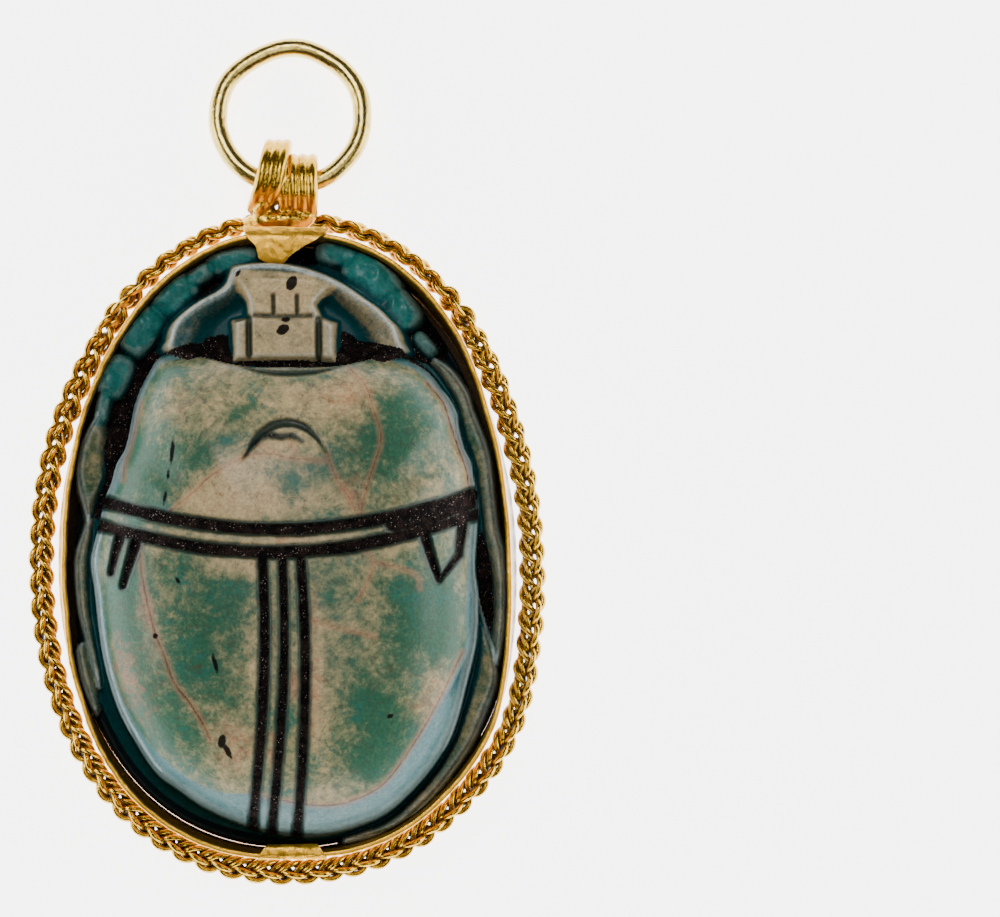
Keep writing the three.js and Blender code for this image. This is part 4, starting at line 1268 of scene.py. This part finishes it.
BRAID_WIDTH = 1.7
BRAID_THICKNESS = 0.8
BRAID_LIFT = 0.08
UPRIGHT_INSET = 0.6
HEAD_TURN = (0.55, 0.86)
STRAND_SWING = 0.5
STRAND_CROSSING = 0.26
PLAIT_STEPS = 28  # points along a strand in each repeat
WIRE_SIDES = 2


def plait_frame(turns):
    """The plait's middle at turns round the wall, with the ways across its flat side and through it."""
    step = 0.002
    here = np.array(BRAID.point(turns)).T
    ahead, behind = (np.array(BRAID.point(turns + s)).T for s in (step, -step))
    along = (ahead - behind) / np.linalg.norm(ahead - behind, axis=1)[:, None]
    outward = np.stack([along[:, 1], -along[:, 0], np.zeros(len(turns))], 1)
    upright = smoothstep(*HEAD_TURN, np.sin(turns))
    lean = upright * math.pi / 2
    inset = BRAID_WIDTH / 2 * (1 - upright) + UPRIGHT_INSET * upright
    lift = BRAID_LIFT + BRAID_THICKNESS / 2 * np.cos(lean) + BRAID_WIDTH / 2 * np.sin(lean)
    middle = np.column_stack([here, lift]) - outward * inset[:, None]
    up = np.array([0, 0, 1.0])
    c, s = np.cos(lean)[:, None], np.sin(lean)[:, None]
    return middle, outward * c + up * s, up * c - outward * s


def even_turns(count):
    """Turns round the plait with the same length of border between them."""
    fine = np.linspace(0, 2 * math.pi, 6001)
    middle = plait_frame(fine)[0]
    run = np.concatenate([[0], np.cumsum(np.linalg.norm(np.diff(middle, axis=0), axis=1))])
    return np.interp(np.linspace(0, run[-1], count, endpoint=False), run, fine)


def wire(name, points, radius):
    """A closed round wire along places, in the carving's millimetres, made a mesh."""
    moved = np.array(points, float)
    moved[:, :2] += SHIFT
    curve = bpy.data.curves.new(name, "CURVE")
    curve.dimensions = "3D"
    curve.bevel_depth = radius * MM
    curve.bevel_resolution = WIRE_SIDES
    line = curve.splines.new("POLY")
    line.points.add(len(moved) - 1)
    line.points.foreach_set("co", np.column_stack([moved * MM, np.ones(len(moved))]).ravel())
    line.use_cyclic_u = True
    piece = bpy.data.objects.new(name, curve)
    bpy.context.collection.objects.link(piece)
    only(piece)
    bpy.ops.object.convert(target="MESH")
    return bpy.context.object


class SCARAB_OT_plait(bpy.types.Operator):
    """Plait three strands of paired wire round the wall"""

    bl_idname = "scarab.plait"
    bl_label = "Plaited border"

    def execute(self, context):
        look = context.scene.scarab_gold
        count = look.repeats * PLAIT_STEPS
        turns = even_turns(count)
        middle, across, through = plait_frame(turns)
        phase = 2 * math.pi * look.repeats * np.arange(count) / count
        slack = 1 + 0.12 * layered_noise(turns * 9, turns * 0, 1.0, 3, 61)
        wires = []
        for strand in range(3):
            swing = phase + strand * 2 * math.pi / 3
            centre = middle + across * (STRAND_SWING * np.sin(swing) * slack)[:, None]
            centre = centre + through * (STRAND_CROSSING * np.sin(2 * swing))[:, None]
            wander = 0.05 * layered_noise(turns * 14, turns * 0, 1.0, 2, 63 + strand)
            centre = centre + through * wander[:, None]
            ahead = np.roll(centre, -1, axis=0) - np.roll(centre, 1, axis=0)
            ahead /= np.linalg.norm(ahead, axis=1)[:, None]
            side = np.cross(ahead, through)
            side /= np.linalg.norm(side, axis=1)[:, None]
            up = np.cross(side, ahead)
            twist = 2 * math.pi * look.twists * np.arange(count) / count
            for half in (0, math.pi):
                offset = side * np.cos(twist + half)[:, None] + up * np.sin(twist + half)[:, None]
                run = centre + offset * look.plait_wire / MM
                wires.append(wire("strand", run, look.plait_wire / MM))
        piece = joined(wires)
        only(piece)
        bpy.ops.object.shade_smooth()
        keep(piece, "hollow", sunk(piece, 0.9, 12, [bpy.data.objects["wall"]]))
        paint = gold_paint("plait_gold", look.orange, look, 0.2, 0.012, 0.3, 0.75)
        handed_over(piece, "plait", paint, "gold_wire", BODY, "braid_border")
        return {"FINISHED"}


# ---------- the loop and its ring ----------

RING_RADIUS = 4.69
RING_LIFT = 0.08
# Rows of hoops: how many, first x, pitch, wire, outer radius, moved y and z, lean.
RIB_ROWS = [(4, -0.4, 0.62, 0.72, 2.1, 0.0, 0.0, 0.0), (3, -1.75, 0.55, 0.7, 2.45, 0.65, 0.08, -0.22)]
HOOP_BOW = 0.35  # how strongly a leaning hoop bows out, below HOOP_BOW_FROM
HOOP_BOW_FROM = 17.8
# Where the ring is bent flatter: turn and width in degrees, and amount.
RING_FLATS = ((118, 24, 0.2), (60, 17, 0.1))
# Lumps of solder: place and half sizes.
SOLDER = [(-0.6, 15.25, 2.7, 2.3, 0.75, 1.2), (-1.75, 16.4, 2.6, 0.85, 1.3, 1.55),
          (0.6, 15.5, 2.6, 1.3, 0.6, 1.1), (-2.2, 15.1, 2.4, 0.9, 0.6, 0.9)]


class SCARAB_OT_loop(bpy.types.Operator):
    """Coil the ribbed loop at the head and solder it down"""

    bl_idname = "scarab.loop"
    bl_label = "Ribbed loop"

    def execute(self, context):
        look = context.scene.scarab_gold
        hoops = []
        for count, x, pitch, thick, radius, y, z, lean in RIB_ROWS:
            for i in range(count):
                hoops.append(self.hoop(x + pitch * i, y, z, thick, radius, lean))
        for lump in SOLDER:
            hoops.append(self.solder(*lump))
        piece = joined(hoops)
        with_modifier(piece, "REMESH", mode="VOXEL", voxel_size=0.07 * MM, use_smooth_shade=True)
        with_modifier(piece, "SMOOTH", factor=0.5, iterations=2)
        only(piece)
        bpy.ops.object.shade_smooth()
        keep(piece, "hollow", sunk(piece, 0.8, 12))
        paint = gold_paint("loop_gold", look.orange, look, 0.22, 0.012, 0.3, 0.8)
        handed_over(piece, "ribbed_loop", paint, "gold_wire", BODY, "suspension_loop")
        return {"FINISHED"}

    def hoop(self, x, y, z, thick, radius, lean):
        """One hoop of round wire in the plane across the ring's hinge."""
        nothing_selected()
        centre = np.array([x + SHIFT[0], HINGE[1] + y + SHIFT[1], HINGE[2] + z])
        bpy.ops.mesh.primitive_torus_add(location=centre * MM, rotation=(0, math.pi / 2, lean),
                                         major_radius=(radius - thick / 2) * MM, minor_radius=thick / 2 * MM,
                                         major_segments=96, minor_segments=24)
        piece = bpy.context.object
        placed(piece)
        points = places(piece)
        # The leaning hoops bow out to the side where they come down.
        points[:, 0] += HOOP_BOW * lean * np.maximum(HOOP_BOW_FROM - points[:, 1], 0) ** 2
        put(piece, points)
        return piece

    def solder(self, x, y, z, wide, long, high):
        """A lump of run metal."""
        nothing_selected()
        bpy.ops.mesh.primitive_uv_sphere_add(segments=48, ring_count=24, radius=MM)
        piece = bpy.context.object
        unit = places(piece)
        unit[:, :2] += SHIFT
        at = unit * (wide, long, high) + (x, y, z)
        swell = 0.2 * layered_noise(at[:, 0] * 1.3, at[:, 1] + at[:, 2], 0.8, 3, 73)
        put(piece, at + unit * swell[:, None])
        return piece


class SCARAB_OT_ring(bpy.types.Operator):
    """Bend the plain ring that runs through the loop"""

    bl_idname = "scarab.ring"
    bl_label = "Ring"

    def execute(self, context):
        look = context.scene.scarab_gold
        thick = look.ring_wire / MM
        nothing_selected()
        bpy.ops.mesh.primitive_torus_add(major_radius=RING_RADIUS * MM, minor_radius=thick / 2 * MM,
                                         major_segments=180, minor_segments=28)
        piece = bpy.context.object
        points = places(piece)
        points[:, :2] += SHIFT
        x, y, z = points.T
        turn = np.arctan2(y, x)
        bend = swelling(RING_FLATS, turn) + 0.03 * layered_noise(turn * 3, turn * 0, 1.0, 2, 81)
        share = 1 - bend / np.hypot(x, y)
        x, y = x * share, y * share
        tilt = -math.asin((HINGE[2] - thick / 2 - RING_LIFT) / (2 * RING_RADIUS))
        y = y + RING_RADIUS
        c, s = math.cos(tilt), math.sin(tilt)
        put(piece, np.stack([x + HINGE[0], HINGE[1] + y * c - z * s, HINGE[2] + y * s + z * c], 1))
        only(piece)
        bpy.ops.object.shade_smooth()
        keep(piece, "hollow", np.full(len(points), 0.05))
        paint = gold_paint("ring_gold", look.pale, look, 0.2, 0.02, 0.3, 0.9)
        handed_over(piece, "ring", paint, "pale_gold", "ring", "suspension_ring")
        return {"FINISHED"}


# ---------- the studio ----------

# Soft lights: name, place in metres, width, height and power.
SOFT_BOXES = (("head_box", (-0.11, 0.27, 0.62), 0.20, 0.16, 1.9),
              ("overhead_box", (0.1, -0.1, 0.85), 0.55, 0.45, 1.6),
              ("left_box", (-0.42, 0.02, 0.16), 0.34, 0.16, 1.3),
              ("right_box", (0.44, 0.04, 0.16), 0.34, 0.16, 1.4),
              ("tail_box", (0.03, -0.42, 0.12), 0.34, 0.12, 1.0))
SKY_COLOUR = (0.95, 0.97, 1.0, 1.0)
SKY_STRENGTH = 0.06
FLOOR_SIZE = 3.0
FLOOR_DROP = 0.02 * MM  # the floor lies this far under the amulet
LOOKED_AT = (13.78, 0.16)  # the table's place under the camera, in millimetres
SENSOR = 36


class SCARAB_OT_studio(bpy.types.Operator):
    """Set the paper, the lights and the camera"""

    bl_idname = "scarab.studio"
    bl_label = "Studio"

    def execute(self, context):
        look = context.scene.scarab_studio
        nothing_selected()
        bpy.ops.mesh.primitive_plane_add(size=FLOOR_SIZE, location=(0, 0, -FLOOR_DROP))
        floor = bpy.context.object
        placed(floor)
        floor.name = floor.data.name = "floor"
        floor.data.materials.append(floor_paint(look))
        self.camera(look)
        for box in SOFT_BOXES:
            self.soft_box(*box)
        world = bpy.data.worlds.new("studio")
        world.use_nodes = True
        sky = world.node_tree.nodes["Background"].inputs
        sky["Color"].default_value = SKY_COLOUR
        sky["Strength"].default_value = SKY_STRENGTH
        context.scene.world = world
        return {"FINISHED"}

    def camera(self, look):
        """Looks down at the table from a little on the tail's side."""
        data = bpy.data.cameras.new("camera")
        data.lens = look.lens
        data.sensor_width = SENSOR
        camera = bpy.data.objects.new("camera", data)
        camera.location = (LOOKED_AT[0] * MM, LOOKED_AT[1] * MM - look.distance * math.sin(look.tilt),
                           look.distance * math.cos(look.tilt))
        camera.rotation_euler = (look.tilt, 0, 0)
        data.clip_start = 0.01
        bpy.context.collection.objects.link(camera)
        bpy.context.scene.camera = camera

    def soft_box(self, name, place, width, height, power):
        """A rectangular soft light aimed at the middle of the table."""
        data = bpy.data.lights.new(name, "AREA")
        data.shape = "RECTANGLE"
        data.size, data.size_y = width, height
        data.energy = power
        box = bpy.data.objects.new(name, data)
        box.location = place
        box.rotation_euler = (-Vector(place)).to_track_quat("-Z", "Y").to_euler()
        bpy.context.collection.objects.link(box)


class SCARAB_PT_panel(bpy.types.Panel):
    """The pieces, in the order they are made"""

    bl_idname = "SCARAB_PT_panel"
    bl_label = "Scarab amulet"
    bl_space_type = "VIEW_3D"
    bl_region_type = "UI"
    bl_category = "Scarab amulet"

    def draw(self, context):
        for operator in OPERATORS:
            self.layout.operator(operator.bl_idname)
        for group in (context.scene.scarab_glaze, context.scene.scarab_gold, context.scene.scarab_studio):
            box = self.layout.box()
            for name in group.__annotations__:
                box.prop(group, name)


OPERATORS = (SCARAB_OT_beetle, SCARAB_OT_wall, SCARAB_OT_plate, SCARAB_OT_plait, SCARAB_OT_loop,
             SCARAB_OT_ring, SCARAB_OT_studio)
CLASSES = (GlazeSettings, GoldSettings, StudioSettings, *OPERATORS, SCARAB_PT_panel)


def register():
    """Adds the settings, operators and panel."""
    for kind in CLASSES:
        bpy.utils.register_class(kind)
    bpy.types.Scene.scarab_glaze = bpy.props.PointerProperty(type=GlazeSettings)
    bpy.types.Scene.scarab_gold = bpy.props.PointerProperty(type=GoldSettings)
    bpy.types.Scene.scarab_studio = bpy.props.PointerProperty(type=StudioSettings)


def unregister():
    """Takes them away."""
    for name in ("scarab_glaze", "scarab_gold", "scarab_studio"):
        delattr(bpy.types.Scene, name)
    for kind in reversed(CLASSES):
        bpy.utils.unregister_class(kind)


def main():
    """Makes every piece in order."""
    register()
    for operator in OPERATORS:
        group, name = operator.bl_idname.split(".")
        getattr(getattr(bpy.ops, group), name)()


if __name__ == "__main__":
    main()
